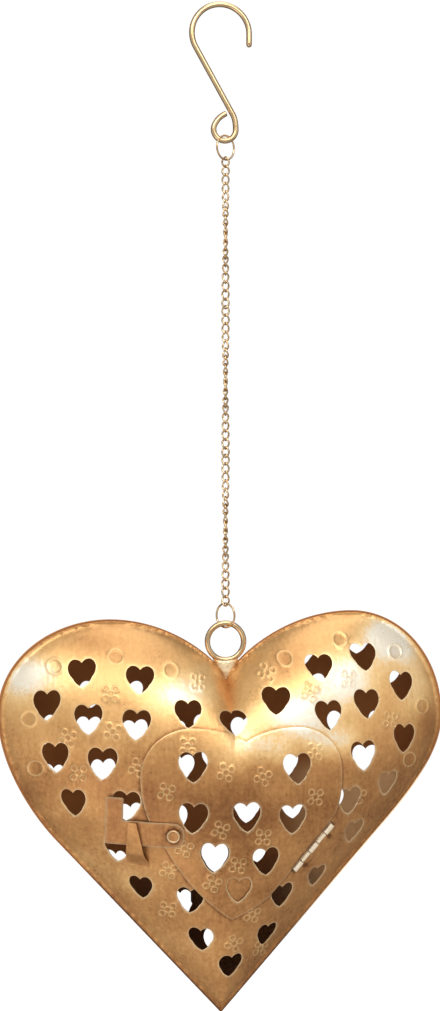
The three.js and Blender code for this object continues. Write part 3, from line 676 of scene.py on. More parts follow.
# Pierced hearts and stamps
pierce = {
    "width": 17.2,
    "height": 18,
    "bulge": 1.6,  # how far the lower sides' middle is pulled outwards
    "turn": 4,  # degrees that the hand-punched hearts lean at most
    "raised": 0.16,  # height of the burr round each one
    # Their middles, and the size of one that came out larger or smaller than the others
    "front": [
        (-111, -15), (-90, 4), (-56, 0), (-106, -46), (-87, -23), (-59, -26), (-95, -73, 0.94),
        (-79, -49, 1.06), (-28, -20, 0.96), (0, -26), (26, -13), (54, 6), (83, 12), (107, -6), (58, -22),
        (83, -16), (108, -38, 0.97), (80, -47), (-65, -74), (-69, -101, 0.95), (-54, -125, 0.88),
        (-26, -132, 0.95), (-18, -157, 0.9), (0, -174, 0.88), (22, -156, 0.86), (30, -131, 0.9),
        (53, -121, 0.8), (76, -94, 0.86), (71, -74, 0.95), (97, -65, 0.85),
    ],
    "back": [
        (-80, -12), (-56, -13), (-82, -35), (-52, -38), (-72, -62), (-104, -63), (-110, -33),
        (-6, -35), (-28, -39), (18, -37), (-22, -61), (0, -55), (-26, -93), (20, -87), (48, -84),
        (44, -59), (-1, -117), (25, -111), (-24, -143), (-2, -167), (51, 11), (59, -9), (85, 20),
        (106, 2), (78, -34), (103, -33), (93, -55), (71, -81), (-54, -90), (-65, -116),
    ],
    "door": [
        (-26, -51), (37, -53), (-26, -81), (6, -81, 0.97), (34, -83, 0.97), (-13, -105), (18, -108, 0.95),
        (2, -125, 0.86),
    ],
}


# A pierced heart round its own middle, before it is punched
def flatPierce():
    width, height = pierce["width"], pierce["height"]
    shape = {"notch": (0, 0.36 * height), "tip": (0, -0.5 * height)}
    for side, way in (("left", -1), ("right", 1)):
        shape[side] = {
            "top": (0.25 * way * width, 0.5 * height),
            "wide": (0.5 * way * width, 0.19 * height),
            "straight": (0.35 * way * width, -0.15 * height),
            "bulge": pierce["bulge"],
        }
    return heartLoop(shape, [6, 6, 3, 4])


# The hearts were punched in flat sheet, so on a slope each one is drawn together downhill
def pierceLoops(places):
    loops = []
    for number, (*place, size) in enumerate((*given, 1)[:3] for given in places):
        lean = math.radians(pierce["turn"] * math.sin(2.3 * number))
        turning = np.array([[math.cos(lean), math.sin(lean)], [-math.sin(lean), math.cos(lean)]])
        turned = size * flatPierce() @ turning
        out = frameOn(place)["axes"][2]
        slope = np.array([out[0], out[2]])
        steep = np.linalg.norm(slope)
        slope = slope / max(steep, 1e-6)
        lost = turned @ slope * (1 - math.sqrt(1 - steep**2))
        loops.append(np.array(place) + turned - lost[:, None] * slope)
    return loops


# From pixels of the photograph to the places on the front that they show. The sheet's height and the
# places are worked out in turn until they agree.
def placesOfPixels(pixels, off):
    px, py = np.array(pixels, float).T
    turn = math.radians(photo["turn"])
    depthShare = np.ones(len(px))
    y = np.full(len(px), -30.0)
    for _ in range(40):
        across = (px - photo["width"] / 2) * photo["scale"] * depthShare + photo["aside"]
        z = photo["level"] - (py - photo["height"] / 2) * photo["scale"] * depthShare - notchHeight
        x = (across + y * math.sin(turn)) / math.cos(turn)
        y = 0.5 * y + 0.5 * onSkin(np.stack([x, z], 1), off)[:, 1]
        depthShare = 1 + (x * math.sin(turn) + y * math.cos(turn)) / photo["distance"]
    return np.stack([x, z], 1)


stamps = {
    "ringRadius": 4.4,
    "ringWidth": 0.5,
    "petalRadius": 1.75,
    "petalWidth": 0.42,
    "petalSpread": 3.9,
    "petalTurn": 30,  # degrees
    "raised": 0.38,
    "sunk": 0.14,
    "ringPoints": 30,
    "petalPoints": 14,
    # Where the photograph shows each stamp, in its pixels
    "rings": [
        (116, 657), (55, 667), (171, 671), (29, 719), (36, 768), (285, 659), (340, 640),
        (395, 652), (422, 706), (409, 759),
    ],
    "flowers": [
        (113, 732), (79, 773), (68, 738), (138, 768), (198, 683), (111, 694), (267, 673), (310, 693),
        (348, 679), (390, 720), (358, 795), (169, 870), (168, 909), (252, 914), (234, 943), (260, 948),
    ],
    "doorFlowers": [
        (167, 792), (188, 747), (226, 773), (263, 777), (315, 752), (315, 797), (185, 848), (221, 830),
        (263, 837), (238, 865), (213, 883),
    ],
}


# The circles that make up the stamps: middle, radius, width of the crest, and number of points. A flower
# is one circle with four round it.
def stampList(rings, flowers, off):
    ring = (stamps["ringRadius"], stamps["ringWidth"], stamps["ringPoints"])
    petal = (stamps["petalRadius"], stamps["petalWidth"], stamps["petalPoints"])
    listed = [(place, *ring) for place in placesOfPixels(rings, off)] if rings else []
    for number, place in enumerate(placesOfPixels(flowers, off)):
        listed.append((place, *petal))
        for quarter in (0, 90, 180, 270):
            turn = math.radians(stamps["petalTurn"] + 12 * math.sin(1.7 * number) + quarter)
            shift = stamps["petalSpread"] * np.array([math.cos(turn), math.sin(turn)])
            listed.append((place + shift, *petal))
    return listed


# Each stamp gets circles of points on its crest and on both sides of it
def stampDots(listed):
    reaches = (-1.4, -0.5, 0.5, 1.5)
    return np.concatenate([
        circleLoop(middle, radius + reach * width, count)
        for middle, radius, width, count in listed
        for reach in reaches
    ])


# Painted highlights (positive) and painted shade (negative) on the gold, in photo pixels: middle, half
# widths and strength. Each patch fades like a bell curve.
paintedLightPatches = [
    (28, 674, 34, 22, 0.38), (80, 690, 42, 16, 0.06), (182, 694, 34, 20, 0.32), (240, 735, 26, 18, 0.16),
    (262, 748, 26, 14, 0.26), (300, 718, 32, 22, 0.5), (345, 680, 34, 28, 0.42), (388, 638, 30, 22, 0.55),
    (332, 744, 26, 14, 0.34), (415, 690, 20, 30, 0.22), (226, 697, 9, 24, -0.18), (228, 758, 22, 16, 0.14),
    (100, 640, 40, 16, -0.1), (300, 655, 24, 16, -0.08), (205, 665, 18, 16, 0.12), (250, 688, 14, 16, 0.06),
    (225, 815, 56, 34, -0.2), (165, 775, 22, 22, -0.04), (30, 785, 24, 26, -0.06), (95, 785, 30, 20, -0.08),
    (400, 770, 44, 40, -0.04), (428, 722, 14, 24, -0.24), (330, 800, 40, 30, -0.06),
    (350, 738, 14, 14, 0.12), (150, 812, 14, 18, -0.14), (88, 860, 30, 26, 0.2), (140, 880, 28, 20, 0.16),
    (282, 788, 20, 14, 0.1),
    (345, 780, 18, 14, 0.08), (200, 945, 70, 34, 0.14), (285, 845, 20, 20, 0.07), (222, 985, 24, 18, 0.08),
    (300, 900, 30, 26, 0.06), (283, 667, 12, 10, -0.08), (280, 755, 14, 9, 0.1), (72, 804, 26, 24, 0.1),
    (142, 790, 12, 10, -0.06), (16, 692, 16, 18, 0.16), (405, 656, 16, 14, 0.12),
]


# Painted light and shade at each place: the sum of the painted patches
def paintedLightAt(places):
    middles = placesOfPixels([patch[:2] for patch in paintedLightPatches], sheet)
    glow = np.zeros(len(places))
    for (x, z), (_, _, wide, high, strength) in zip(middles, paintedLightPatches):
        away = (places - (x, z)) / (wide * photo["scale"], high * photo["scale"])
        glow += strength * np.exp(-(away**2).sum(1))
    return glow


# How near a place is to a loop: 1 on it, fading out over a width
def rimMark(places, loop, width=0.76):
    return 1 - smoothStep(gapToLoop(places, loop) / width)


# A painted highlight round a pierced heart along its cut edge: strongest on its lower right, where the edge
# faces the light, weak on its upper left
def pierceRimHighlight(places, loops):
    found = np.zeros(len(places))
    for loop in loops:
        way = places - loop.mean(0)
        facing = way @ (0.55, -0.84) / np.linalg.norm(way, axis=1)
        found = np.maximum(found, rimMark(places, loop) * (0.68 + 0.32 * facing))
    return found


# Painted shade along edges: shadow beside the door and the hinge and round the latch rivet's head, and
# shade along the shells' rims. By how much the gold is darker, and over what width
paintedShades = {
    "shadowBesideDoor": (0.3, 1.9),
    "frontEdge": (0.2, 1.6),
    "backEdge": (0.3, 1.6),
    "besideHinge": (0.5, 1.5),
    "latchSocket": (0.3, 1.2),
}


def paintedShadeAlong(places, loop, name):
    strength, width = paintedShades[name]
    return -strength * rimMark(places, loop, width)


# A stamp's form: a crest that falls off both ways like a bell curve, round a sunk middle. Its crest and pit
# marks also carry a painted highlight and painted shade.
def stampForm(places, listed):
    crest, pit = np.zeros(len(places)), np.zeros(len(places))
    for middle, radius, width, _ in listed:
        far = np.hypot(*(places - middle).T)
        crest = np.maximum(crest, np.exp(-(((far - radius) / (0.8 * width)) ** 2)))
        pit = np.maximum(pit, smoothStep((radius - far) / (2 * width)))
    return stamps["raised"] * crest - stamps["sunk"] * pit, {"crest": crest, "pit": pit}


# Hinge and latch frames, which the sheets leave room for
hinge = {
    "middle": (48.7, -101.5),
    "length": 36.4,
    "lean": 50.4,
    "knuckles": 5,
    "barrel": 3.4,
    "thinBarrel": 2.5,  # of the two knuckles on the door's leaf
    "gap": 0.45,  # between two knuckles
    "strap": 0.66,  # thickness of the strip from a knuckle to its leaf
    "doorEdge": 2.5,  # how far the door's edge keeps from the pin
    "bore": 2.1,
    "pin": 1.5,
    "pinHead": 2.6,
    "leaf": 0.8,
    "leafWidth": 8.6,
    "rise": 0.4,
    "edge": 2.1,
    "rivetSpread": 22.7,
    "rivetReach": 5.2,
    "rivetHead": 2.9,
    "rivetShank": 1.8,
    "rivetHeight": 0.7,
}
latch = {
    "rivetAt": (-37.2, -91),
    "sheet": 0.9,
    "armWidth": 15,
    "armReach": 30.6,
    "tabLength": 10.8,
    "tabUp": 21.5,
    "end": 6.5,
    "bend": 4,
    "bendReach": 12,
    "head": 8.4,
    "shank": 4,
    "tail": 6,
    "headHeight": 1.6,
}
hingeFrame = frameOn(hinge["middle"], sheet, hinge["lean"])
latchFrame = frameOn(latch["rivetAt"])
doorLow = sheet + clearance
doorHigh = doorLow + sheet
strapLow = doorHigh + clearance


# The places on the dome that lie at distances along and across the hinge's frame, found step by step
def besideHinge(along, across, off=sheet):
    wanted = np.stack(np.broadcast_arrays(along, across), -1).astype(float)
    axes = hingeFrame["axes"][:2]
    flat = axes[:, [0, 2]]
    places = np.array(hinge["middle"]) + wanted @ flat
    for _ in range(6):
        reached = (onSkin(places, off, height=domeHeight) - hingeFrame["origin"]) @ axes.T
        places = places + (wanted - reached) @ np.linalg.inv(flat).T
    return places


def acrossHinge(places, off):
    return (onSkin(places, off, height=domeHeight) - hingeFrame["origin"]) @ hingeFrame["axes"][1]


# Doorway and door
door = {
    "notch": (6.5, -37),
    "left": {"top": (-27, -28.5), "wide": (-57, -57.5), "straight": (-41, -100), "bulge": 7},
    "right": {"top": (38, -28.5), "wide": (65.5, -55), "straight": (58.5, -85), "bulge": 16},
    "tip": (-1.3, -143.6),
    "middle": (5, -80),
    "doorwayInset": 8.5,
    "sill": -117.5,
}


# The doorway, the slot that the hinge's leaf goes through, and the bay for the latch rivet's tail
def doorwayLoops():
    away = heartLoop(door, [24, 24, 16, 30]) - np.array(door["middle"])
    length = np.linalg.norm(away, axis=1, keepdims=True)
    inset = np.array(door["middle"]) + away * (1 - door["doorwayInset"] / length)
    inset = inset[inset[:, 1] > door["sill"]]
    cut = np.argmax(np.linalg.norm(np.diff(inset, axis=0), axis=1)) + 1
    first = (inset[cut - 1][0], door["sill"])
    last = (inset[cut][0], door["sill"])
    way = np.concatenate([inset[:cut], curvePoints([first, last], 24), [last], inset[cut:]])
    end = hinge["length"] / 2 + 2 * clearance + 0.8
    near, far = -hinge["edge"], hinge["leafWidth"] + 2 * clearance
    slot = besideHinge(*straightLoop([(-end, near), (end, near), (end, far), (-end, far)], [12] * 4).T)
    bay = circleLoop(latch["rivetAt"], latch["tail"] / 2 + 1, 24)
    return [way, slot, bay]


# The door's heart, cut off along the hinge
def doorOutline():
    loop = heartLoop(door, [30, 30, 20, 40])
    far = acrossHinge(loop, doorLow) > hinge["doorEdge"]
    start = np.where(far & ~np.roll(far, 1))[0][0]
    kept = np.roll(loop, -start, 0)[: far.sum()]
    ends = onSkin(kept[[-1, 0]], doorLow, height=domeHeight) - hingeFrame["origin"]
    along = np.linspace(*(ends @ hingeFrame["axes"][0]), 40)
    return np.concatenate([kept, besideHinge(along, hinge["doorEdge"], doorLow)])


# Shells
tongue = {
    "left": ((-62.8, -109), (-62.7, -82)),  # from its root up to its tip
    "right": ((-50.1, -111), (-58.3, -82.6)),
    "slit": 0.4,
    "windowTop": -2.2,  # over the tongue's tip: its bend takes up that much length
    "windowRight": -2.2,  # of the tip's side, which the lifted tongue hides
    "lift": 5.6,
    "rise": 0.36,
}


# The hole that the tongue was cut from
def tongueWindow():
    slit = tongue["slit"]
    (lx, lz), (tx, tz) = tongue["left"]
    (rx, rz), (sx, sz) = tongue["right"]
    top = tongue["windowTop"]
    right = tongue["windowRight"]
    corners = [(lx + slit, lz), (tx - slit, tz + top), (sx + right, sz + top), (rx - slit / 2, rz)]
    return straightLoop(corners, (18, 4, 18, 8))


# The catch tongue: a strip that runs up from its root and bends out in a smooth step to its lift
def tonguePart():
    share = np.linspace(-0.05, 1, 34)[:, None]
    side = np.linspace(0, 1, 9)[None, :]
    ends = (np.array(tongue[edge]) for edge in ("left", "right"))
    left, right = (root + share[..., None] * (tip - root) for root, tip in ends)
    places = left + side[..., None] * (right - left)
    lift = np.broadcast_to(tongue["lift"] * smoothStep(share / tongue["rise"]), places.shape[:2])
    upper = onSkin(places, sheet - 0.02 + lift)
    lower = onSkin(places, 0.02 + lift)
    return slabPart(upper, lower, mirrored=True)


def hingeRivetPlaces():
    return besideHinge(np.array([-0.5, 0.5]) * hinge["rivetSpread"], -hinge["rivetReach"], sheet)


rimSteps = [60, 60, 40, 84]  # points on each curve of a shell's outline
meshSize = {"front": 1.75, "back": 1.9, "door": 1.5, "latch": 1.6}  # mm from point to point


def makeFrontShell():
    outline = heartLoop(heart, rimSteps)
    rivetHoles = [circleLoop(place, hinge["rivetShank"] / 2, 14) for place in hingeRivetPlaces()]
    pierced = pierceLoops(pierce["front"])
    holes = [*pierced, *doorwayLoops(), tongueWindow(), *rivetHoles]
    listed = stampList(stamps["rings"], stamps["flowers"], sheet)
    cover = flatCover(outline, holes, meshSize["front"], stampDots(listed))
    places = cover[0]
    raised, marks = stampForm(places, listed)
    # A painted highlight round the pierced hearts
    marks["rim"] = pierceRimHighlight(places, pierced)
    # Painted shadow along the door's edge and painted shade along the rim, added to the painted patches
    shadowBesideDoor = paintedShadeAlong(places, doorOutline(), "shadowBesideDoor")
    marks["glow"] = paintedLightAt(places) + shadowBesideDoor + paintedShadeAlong(places, outline, "frontEdge")
    raised = raised + pierce["raised"] * marks["rim"]
    shell = sheetPart(cover, 0, sheet, onSkin, marks, raised=raised)
    makePiece("frontShell", "front_shell", [shell, tonguePart()], sheetFinishes)


def makeBackShell():
    centre = np.array(dome["centre"])
    rim = heartLoop(heart, rimSteps)
    outline = centre + (rim - centre) * (1 + dome["backLip"] / dome["meanReach"])
    holes = pierceLoops(pierce["back"])
    cover = flatCover(outline, holes, meshSize["back"])
    places = cover[0]
    # Painted highlights round the holes, the painted patches at 0.4 strength, and painted shade along the
    # rim
    backPierceHighlight = np.maximum.reduce([rimMark(places, hole) for hole in holes])
    marks = {"glow": 0.4 * paintedLightAt(places) + paintedShadeAlong(places, outline, "backEdge"), "rim": backPierceHighlight}
    shell = sheetPart(cover, 0, sheet, lambda *place: onSkin(*place, back=True), marks, back=True)
    makePiece("backShell", "back_shell", [shell], sheetFinishes)


def makeDoor():
    outline = doorOutline()
    pierced = pierceLoops(pierce["door"])
    rivetHole = circleLoop(latch["rivetAt"], latch["shank"] / 2 + clearance, 20)
    listed = stampList([], stamps["doorFlowers"], doorHigh)
    cover = flatCover(outline, [*pierced, rivetHole], meshSize["door"], stampDots(listed))
    places = cover[0]
    raised, marks = stampForm(places, listed)
    burrAndHighlight = pierceRimHighlight(places, pierced)
    # A painted highlight round the pierced hearts and a weaker one along the door's edge
    marks["rim"] = np.maximum(burrAndHighlight, 0.3 * rimMark(places, outline, 0.8))
    along = np.linspace(-0.5, 0.5, 60) * hinge["length"]
    hingeSide = besideHinge(along, hinge["doorEdge"], doorLow)
    # Painted light and shade: the patches, and painted shadow along the hinge side
    marks["glow"] = paintedLightAt(places) + paintedShadeAlong(places, hingeSide, "besideHinge")
    raised = raised + pierce["raised"] * burrAndHighlight
    panel = sheetPart(cover, doorLow, doorHigh, onSkin, marks, raised=raised)
    makePiece("doorPanel", "door_panel", [panel], sheetFinishes, "door")


makeFrontShell()
makeBackShell()
makeDoor()
print("shells and door ready")


# Hinge
# A leaf follows the dome under its sheet. Its way is 1 on the door's side of the pin, -1 on the body's.
def leafPart(way, low):
    along = np.linspace(-hinge["length"] / 2 + 1, hinge["length"] / 2 - 1, 30)[:, None]
    across = way * np.linspace(hinge["edge"], hinge["leafWidth"], 8)[None, :]
    places = besideHinge(along, across, low)
    upper = onSkin(places, low + hinge["leaf"], height=domeHeight)
    lower = onSkin(places, low, height=domeHeight)
    return slabPart(upper, lower, mirrored=way < 0)


# The pin's own line, along which all turned parts of the hinge lie
barrelFrame = {
    "origin": hingeFrame["origin"] + hinge["rise"] * hingeFrame["axes"][2],
    "axes": hingeFrame["axes"][[1, 2, 0]],
}


# Where a knuckle starts and ends along the pin
def knuckleSpan(number):
    pitch = hinge["length"] / hinge["knuckles"]
    start = -hinge["length"] / 2 + number * pitch + hinge["gap"] / 2
    return start, start + pitch - hinge["gap"]


def knucklePart(number):
    start, end = knuckleSpan(number)
    outer = (hinge["barrel"] if number % 2 == 0 else hinge["thinBarrel"]) / 2
    inner = hinge["bore"] / 2
    bend = 0.25
    profile = [
        (inner, start + bend / 2), (inner + bend / 2, start), (outer - bend, start), (outer, start + bend),
        (outer, end - bend), (outer - bend, end), (inner + bend / 2, end), (inner, end - bend / 2),
    ]
    return turnedPart(profile, 28, barrelFrame, closed=True)


# The strap that joins a knuckle to its leaf, under the barrel
def knuckleStrap(number, way, low):
    along = np.linspace(*knuckleSpan(number), 6)[:, None]
    across = way * np.linspace(0.2, hinge["edge"] + 0.6, 5)[None, :]
    along, across = np.broadcast_arrays(along, across)
    local = np.stack([along, across, np.full(along.shape, low - sheet + hinge["strap"])], -1)
    upper, lower = inFrame(hingeFrame, local), inFrame(hingeFrame, local - (0, 0, hinge["strap"]))
    return slabPart(upper, lower, mirrored=way < 0)


def makeHinge():
    bodyLow = -clearance - hinge["leaf"]
    doorLeafLow = doorLow - clearance - hinge["leaf"]
    # The leaves take the dark finish as painted shade in the gap beside the barrel
    bodyParts = [leafPart(-1, bodyLow) | {"finish": 1}]
    doorParts = [leafPart(1, doorLeafLow) | {"finish": 1}]
    for number in range(hinge["knuckles"]):
        parts, way, low = ((bodyParts, -1, bodyLow), (doorParts, 1, doorLeafLow))[number % 2]
        parts += [knucklePart(number), knuckleStrap(number, way, low)]
    finishes = [hingeMetal, darkSheetAndShade]
    makePiece("hingeBodyLeaf", "hinge_body_leaf", bodyParts, finishes, "lantern")
    makePiece("hingeDoorLeaf", "hinge_door_leaf", doorParts, finishes, "door")
    end = hinge["length"] / 2 + clearance / 2
    head, pin = hinge["pinHead"] / 2, hinge["pin"] / 2
    half = [(0.3, end + 0.75), (0.7 * head, end + 0.7), (head, end + 0.35), (head, end), (pin, end)]
    profile = [(radius, -height) for radius, height in half] + half[::-1]
    pinPart = turnedPart(profile, 20, barrelFrame)
    makePiece("hingePin", "hinge_pin", [pinPart], [darkSheetAndShade], "lantern")


# A rivet's profile from its inner head up to its round outer head, which is part of a ball
def rivetProfile(low, high, head, headHeight, shank, tail, tailHeight):
    under, over = low - clearance, high + clearance
    head, shank, tail = head / 2, shank / 2, tail / 2
    turn = np.linspace(0, math.pi / 2, 7)[:-1]
    crown = [(head * math.cos(a), over + headHeight * (0.2 + 0.8 * math.sin(a))) for a in turn]
    return [
        (0.1, under - tailHeight), (0.8 * tail, under - tailHeight), (tail, under), (shank, under),
        (shank, over), (head - 0.05, over), *crown, (0.1, over + headHeight),
    ]


# Small gold rivets through a shell and the sheet under it, with the same head on both sides
def makeSmallRivets(name, node, places, shape, under, back=False, **marks):
    head, height = shape["rivetHead"], shape["rivetHeight"]
    profile = rivetProfile(-clearance - under, sheet, head, height, shape["rivetShank"], head, height)
    for number, place in enumerate(places, 1):
        rivet = turnedPart(profile, 20, frameOn(place, back=back)) | {"marks": marks}
        makePiece(f"{name}{number}", f"{node}_{number}", [rivet], [goldSheet])


makeHinge()
makeSmallRivets("hingeRivet", "hinge_rivet", hingeRivetPlaces(), hinge, hinge["leaf"], glow=-0.25)
print("hinge ready")


# Latch
# The strap is an L: a round end at the rivet, a long arm, and a tab that stands up at its far end
def latchOutline():
    half, end, tabUp = latch["armWidth"] / 2, latch["end"], latch["tabUp"]
    inner = -latch["armReach"]
    outer = inner - latch["tabLength"]
    corner = 1.2
    return joinedCurves([
        ([(outer + corner, -half), (end - half, -half)], 46),
        ([(end - half, -half), (end, -half), (end, 0)], 12),
        ([(end, 0), (end, half), (end - half, half)], 12),
        ([(end - half, half), (inner + corner, half)], 34),
        ([(inner + corner, half), (inner, half), (inner, half + corner)], 5),
        ([(inner, half + corner), (inner, tabUp - corner)], 14),
        ([(inner, tabUp - corner), (inner, tabUp), (inner - corner, tabUp)], 5),
        ([(inner - corner, tabUp), (outer + corner, tabUp)], 9),
        ([(outer + corner, tabUp), (outer, tabUp), (outer, tabUp - corner)], 5),
        ([(outer, tabUp - corner), (outer, corner - half)], 26),
        ([(outer, corner - half), (outer, -half), (outer + corner, -half)], 5),
    ])


# The strap is flat in the latch's frame, and past its bend it turns back towards the shell
def onStrap(places, off):
    bend = math.radians(latch["bend"])
    past = np.minimum(places[:, 0] + latch["bendReach"], 0)
    over = np.asarray(off) - strapLow
    bent = past < 0
    x = places[:, 0] - past + past * math.cos(bend) - np.where(bent, over * math.sin(bend), 0)
    z = strapLow + past * math.sin(bend) + np.where(bent, over * math.cos(bend), over)
    return inFrame(latchFrame, np.stack([x, places[:, 1], z], 1))


def makeLatch():
    hole = circleLoop((0, 0), latch["shank"] / 2 + clearance, 20)
    outline = latchOutline()
    cover = flatCover(outline, [hole], meshSize["latch"])
    places = cover[0]
    # Painted shadow round the rivet's head, a painted highlight along the strap's edge, and a tone 0.12
    # lower on the whole strap
    socket = paintedShadeAlong(places, circleLoop((0, 0), latch["head"] / 2 + 0.4, 40), "latchSocket")
    marks = {"rim": 0.5 * rimMark(places, outline, 0.8), "glow": socket - 0.12}
    strapTop = strapLow + latch["sheet"]
    strap = sheetPart(cover, strapLow, strapTop, onStrap, marks, rounding=0.22) | {"finish": 0}
    makePiece("latchStrap", "latch_strap", [strap], [goldSheet], "latch")
    top = strapTop + clearance
    tall = latch["headHeight"]
    outer = latch["head"] / 2
    plain = rivetProfile(doorLow, strapTop, latch["head"], tall, latch["shank"], latch["tail"], 0.8)
    # The outer head is no ball but a cup: a rounded rim round a hollow
    profile = [(radius, height) for radius, height in plain if height < top + 0.01] + [
        (outer, top + 0.2), (outer, top + 0.5 * tall), (0.96 * outer, top + 0.8 * tall),
        (0.86 * outer, top + tall), (0.76 * outer, top + 0.92 * tall), (0.66 * outer, top + 0.66 * tall),
        (0.5 * outer, top + 0.6 * tall), (0.1, top + 0.68 * tall),
    ]
    steps = 40
    rivet = turnedPart(profile, steps, latchFrame)
    radii = np.repeat([r for r, _ in profile], steps)
    # A painted highlight on the ring of the head's rim, and a tone 0.08 lower
    rivet["marks"] = {"rim": 0.7 * (np.abs(radii / outer - 0.84) < 0.1), "glow": -0.08}
    makePiece("latchRivet", "latch_rivet", [rivet], [goldSheet], "door")


makeLatch()
print("latch ready")


# Candle cup
cup = {
    "diameter": 43,
    "height": 14,
    "sheet": 0.8,
    "floor": -139,
    "bracketWidth": 14,
    "bracketSheet": 1,
    "bracketFront": -14,
    "leg": 12,
    "legMiddle": -135,
    "rivetSpread": 7.4,
    "rivetHead": 3.2,
    "rivetShank": 1.8,
    "rivetHeight": 0.8,
}


def makeCup():
    outer, wall, height = cup["diameter"] / 2, cup["sheet"], cup["height"]
    inner = outer - wall
    profile = [
        (0.2, 0), (outer - 1.6, 0), (outer - 0.6, 0.25), (outer - 0.1, 1),
        (outer - 0.1, height - 0.9), (outer, height - 0.5), (outer - 0.1, height - 0.1),
        (outer - 0.4, height), (inner + 0.1, height - 0.1), (inner, height - 0.5),
        (inner, wall + 1.2), (inner - 0.3, wall + 0.5), (inner - 1.1, wall), (0.2, wall),
    ]
    where = {"origin": np.array([0, 0, cup["floor"] + notchHeight]), "axes": np.eye(3)}
    bowl = turnedPart(profile, 96, where)
    makePiece("tealightCup", "tealight_cup", [bowl], [darkSheetAndShade])


# The bracket is a level strip under the cup and a leg against the back shell
def makeBracket():
    half, thick = cup["bracketWidth"] / 2, cup["bracketSheet"]
    x = np.linspace(-half, half, 15)[None, :]
    middle = cup["legMiddle"]
    z = np.linspace(middle - cup["leg"] / 2 + 0.4, middle + cup["leg"] / 2 - 0.4, 14)[:, None]
    places = np.stack(np.broadcast_arrays(x, z), -1)
    outside = onSkin(places, -clearance, True)
    inside = onSkin(places, -clearance - thick, True)
    leg = slabPart(inside, outside)
    top = cup["floor"] - clearance
    share = np.linspace(0, 1, 20)[:, None]
    level = np.stack([x[0], np.full(15, top - thick / 2)], 1)
    end = onSkin(level, -clearance - thick / 2, True)[:, 1][None, :]
    y = cup["bracketFront"] + share * (end - cup["bracketFront"])
    wide = np.broadcast_to(x, y.shape)
    upper = np.stack([wide, y, np.full(y.shape, top + notchHeight)], -1)
    strip = slabPart(upper, upper - (0, 0, thick))
    makePiece("cupBracket", "cup_bracket", [leg, strip], [darkSheetAndShade])
    rivetPlaces = [(side * cup["rivetSpread"] / 2, middle + cup["leg"] / 6) for side in (-1, 1)]
    makeSmallRivets("bracketRivet", "bracket_rivet", rivetPlaces, cup, thick, back=True)


makeCup()
makeBracket()
print("cup ready")


# Hook, rings and chain
hook = {
    "wire": 3.6,
    "shownWire": 3.54,
    "crookRadius": 17.8,
    "crookOffset": -3.1,
    "tail": 6.4,
    "shankLean": 60.6,  # degrees, as the eye's turn
    "shankLength": 47,
    "eyeRadius": 6.9,
    "eyeDrop": 9.4,
    "eyeShift": -5,
    "eyeTurn": 216,
}


# The wire's middle line and the eye's middle: up the tail, over the crook, down the shank and round the
# eye. The crook's inner side touches the origin, where the hook hangs.
def hookPath():
    lean, radius, eyeRadius = math.radians(hook["shankLean"]), hook["crookRadius"], hook["eyeRadius"]
    inner = radius - hook["wire"] / 2
    cx = hook["crookOffset"]
    cz = -math.sqrt(inner**2 - cx**2)
    way = np.array([math.cos(lean), -math.sin(lean)])
    shankTop = np.array([cx + radius * way[1], cz - radius * way[0]])
    shankEnd = shankTop + hook["shankLength"] * way
    eye = shankEnd + (hook["eyeShift"], -hook["eyeDrop"])
    right = eye[0] + eyeRadius
    turned = math.radians(-hook["eyeTurn"])
    last = eye + eyeRadius * np.array([math.cos(turned), math.sin(turned)])
    away = (hook["wire"] + clearance) / -way[1]
    finish = (shankEnd[0] - away + 0.2, shankEnd[1] + 0.4)
    legs = [
        curvePoints([(cx + radius, cz - hook["tail"]), (cx + radius, cz)], 6),
        circleLoop((cx, cz), radius, 60, 0, 270 - hook["shankLean"]),
        curvePoints([shankTop, shankEnd], 30),
        curvePoints([shankEnd, (right, shankEnd[1] - 0.35 * hook["eyeDrop"]), (right, eye[1])], 12),
        circleLoop(eye, eyeRadius, 60, 0, -hook["eyeTurn"]),
        curvePoints([last, (last[0] + 1.6, last[1] + 3.4), finish], 12),
        [finish],
    ]
    flat = np.concatenate(legs)
    return np.stack([flat[:, 0], np.zeros(len(flat)), flat[:, 1]], 1), eye


# The wire's ends are rounded: past each end its radius falls off in three steps, as on a ball. At the
# eye's end the steps are shorter.
def makeHook():
    path, _ = hookPath()
    radius = hook["shownWire"] / 2
    first, last = path[0] - path[1], path[-1] - path[-2]
    reach = radius * np.array([0.95, 0.8, 0.5])
    heads = [path[0] + far * first / np.linalg.norm(first) for far in reach]
    tails = [path[-1] + 0.3 * far * last / np.linalg.norm(last) for far in reach[::-1]]
    whole = np.concatenate([heads, path, tails])
    thin = [0.31, 0.6, 0.87]
    radii = radius * np.concatenate([thin, np.ones(len(path)), thin[::-1]])
    wire = wirePart(whole, radii, 20, False, (0, 1, 0))
    makePiece("hookWire", "s_hook", [wire], [goldWire], "hook")


rings = {
    "diameter": 16,
    "wire": 1.2,
    "upperTurn": 36,  # degrees, as the lower one
    "lowerTurn": -51,
    "inEye": 0.75,
    "hangingDiameter": 26,
    "hangingWire": 3.45,
    "toNotch": 8.5,
    "weldWidth": 17.2,
    "weldReach": (-1.6, 10.6),  # over the notch
    "weldThickness": 5,
}
chain = {
    "links": 54,
    "inRun": 6,  # links that move together
    "wire": 1.25,
    "width": 4.2,
    "height": 6.08,
    "twist": -45,  # degrees from a link's middle to its end, as the turns below
    "turnPerLink": -10.2,
    "firstTurn": -9,
    "bite": 0.36,  # how deep the solid links of one run sit in one another
    "shownWire": 1.15,
    "shownHeight": 6.3,
}
ringMean = (rings["diameter"] - rings["wire"]) / 2
eyeBottom = hookPath()[1][1] - hook["eyeRadius"] + hook["wire"] / 2
upperRingHeight = eyeBottom + rings["inEye"] + rings["wire"] / 2 - ringMean
lowerRingHeight = -373.552  # as the chain's length sets it
ringOnLink = (rings["wire"] + chain["wire"]) / 2 + clearance


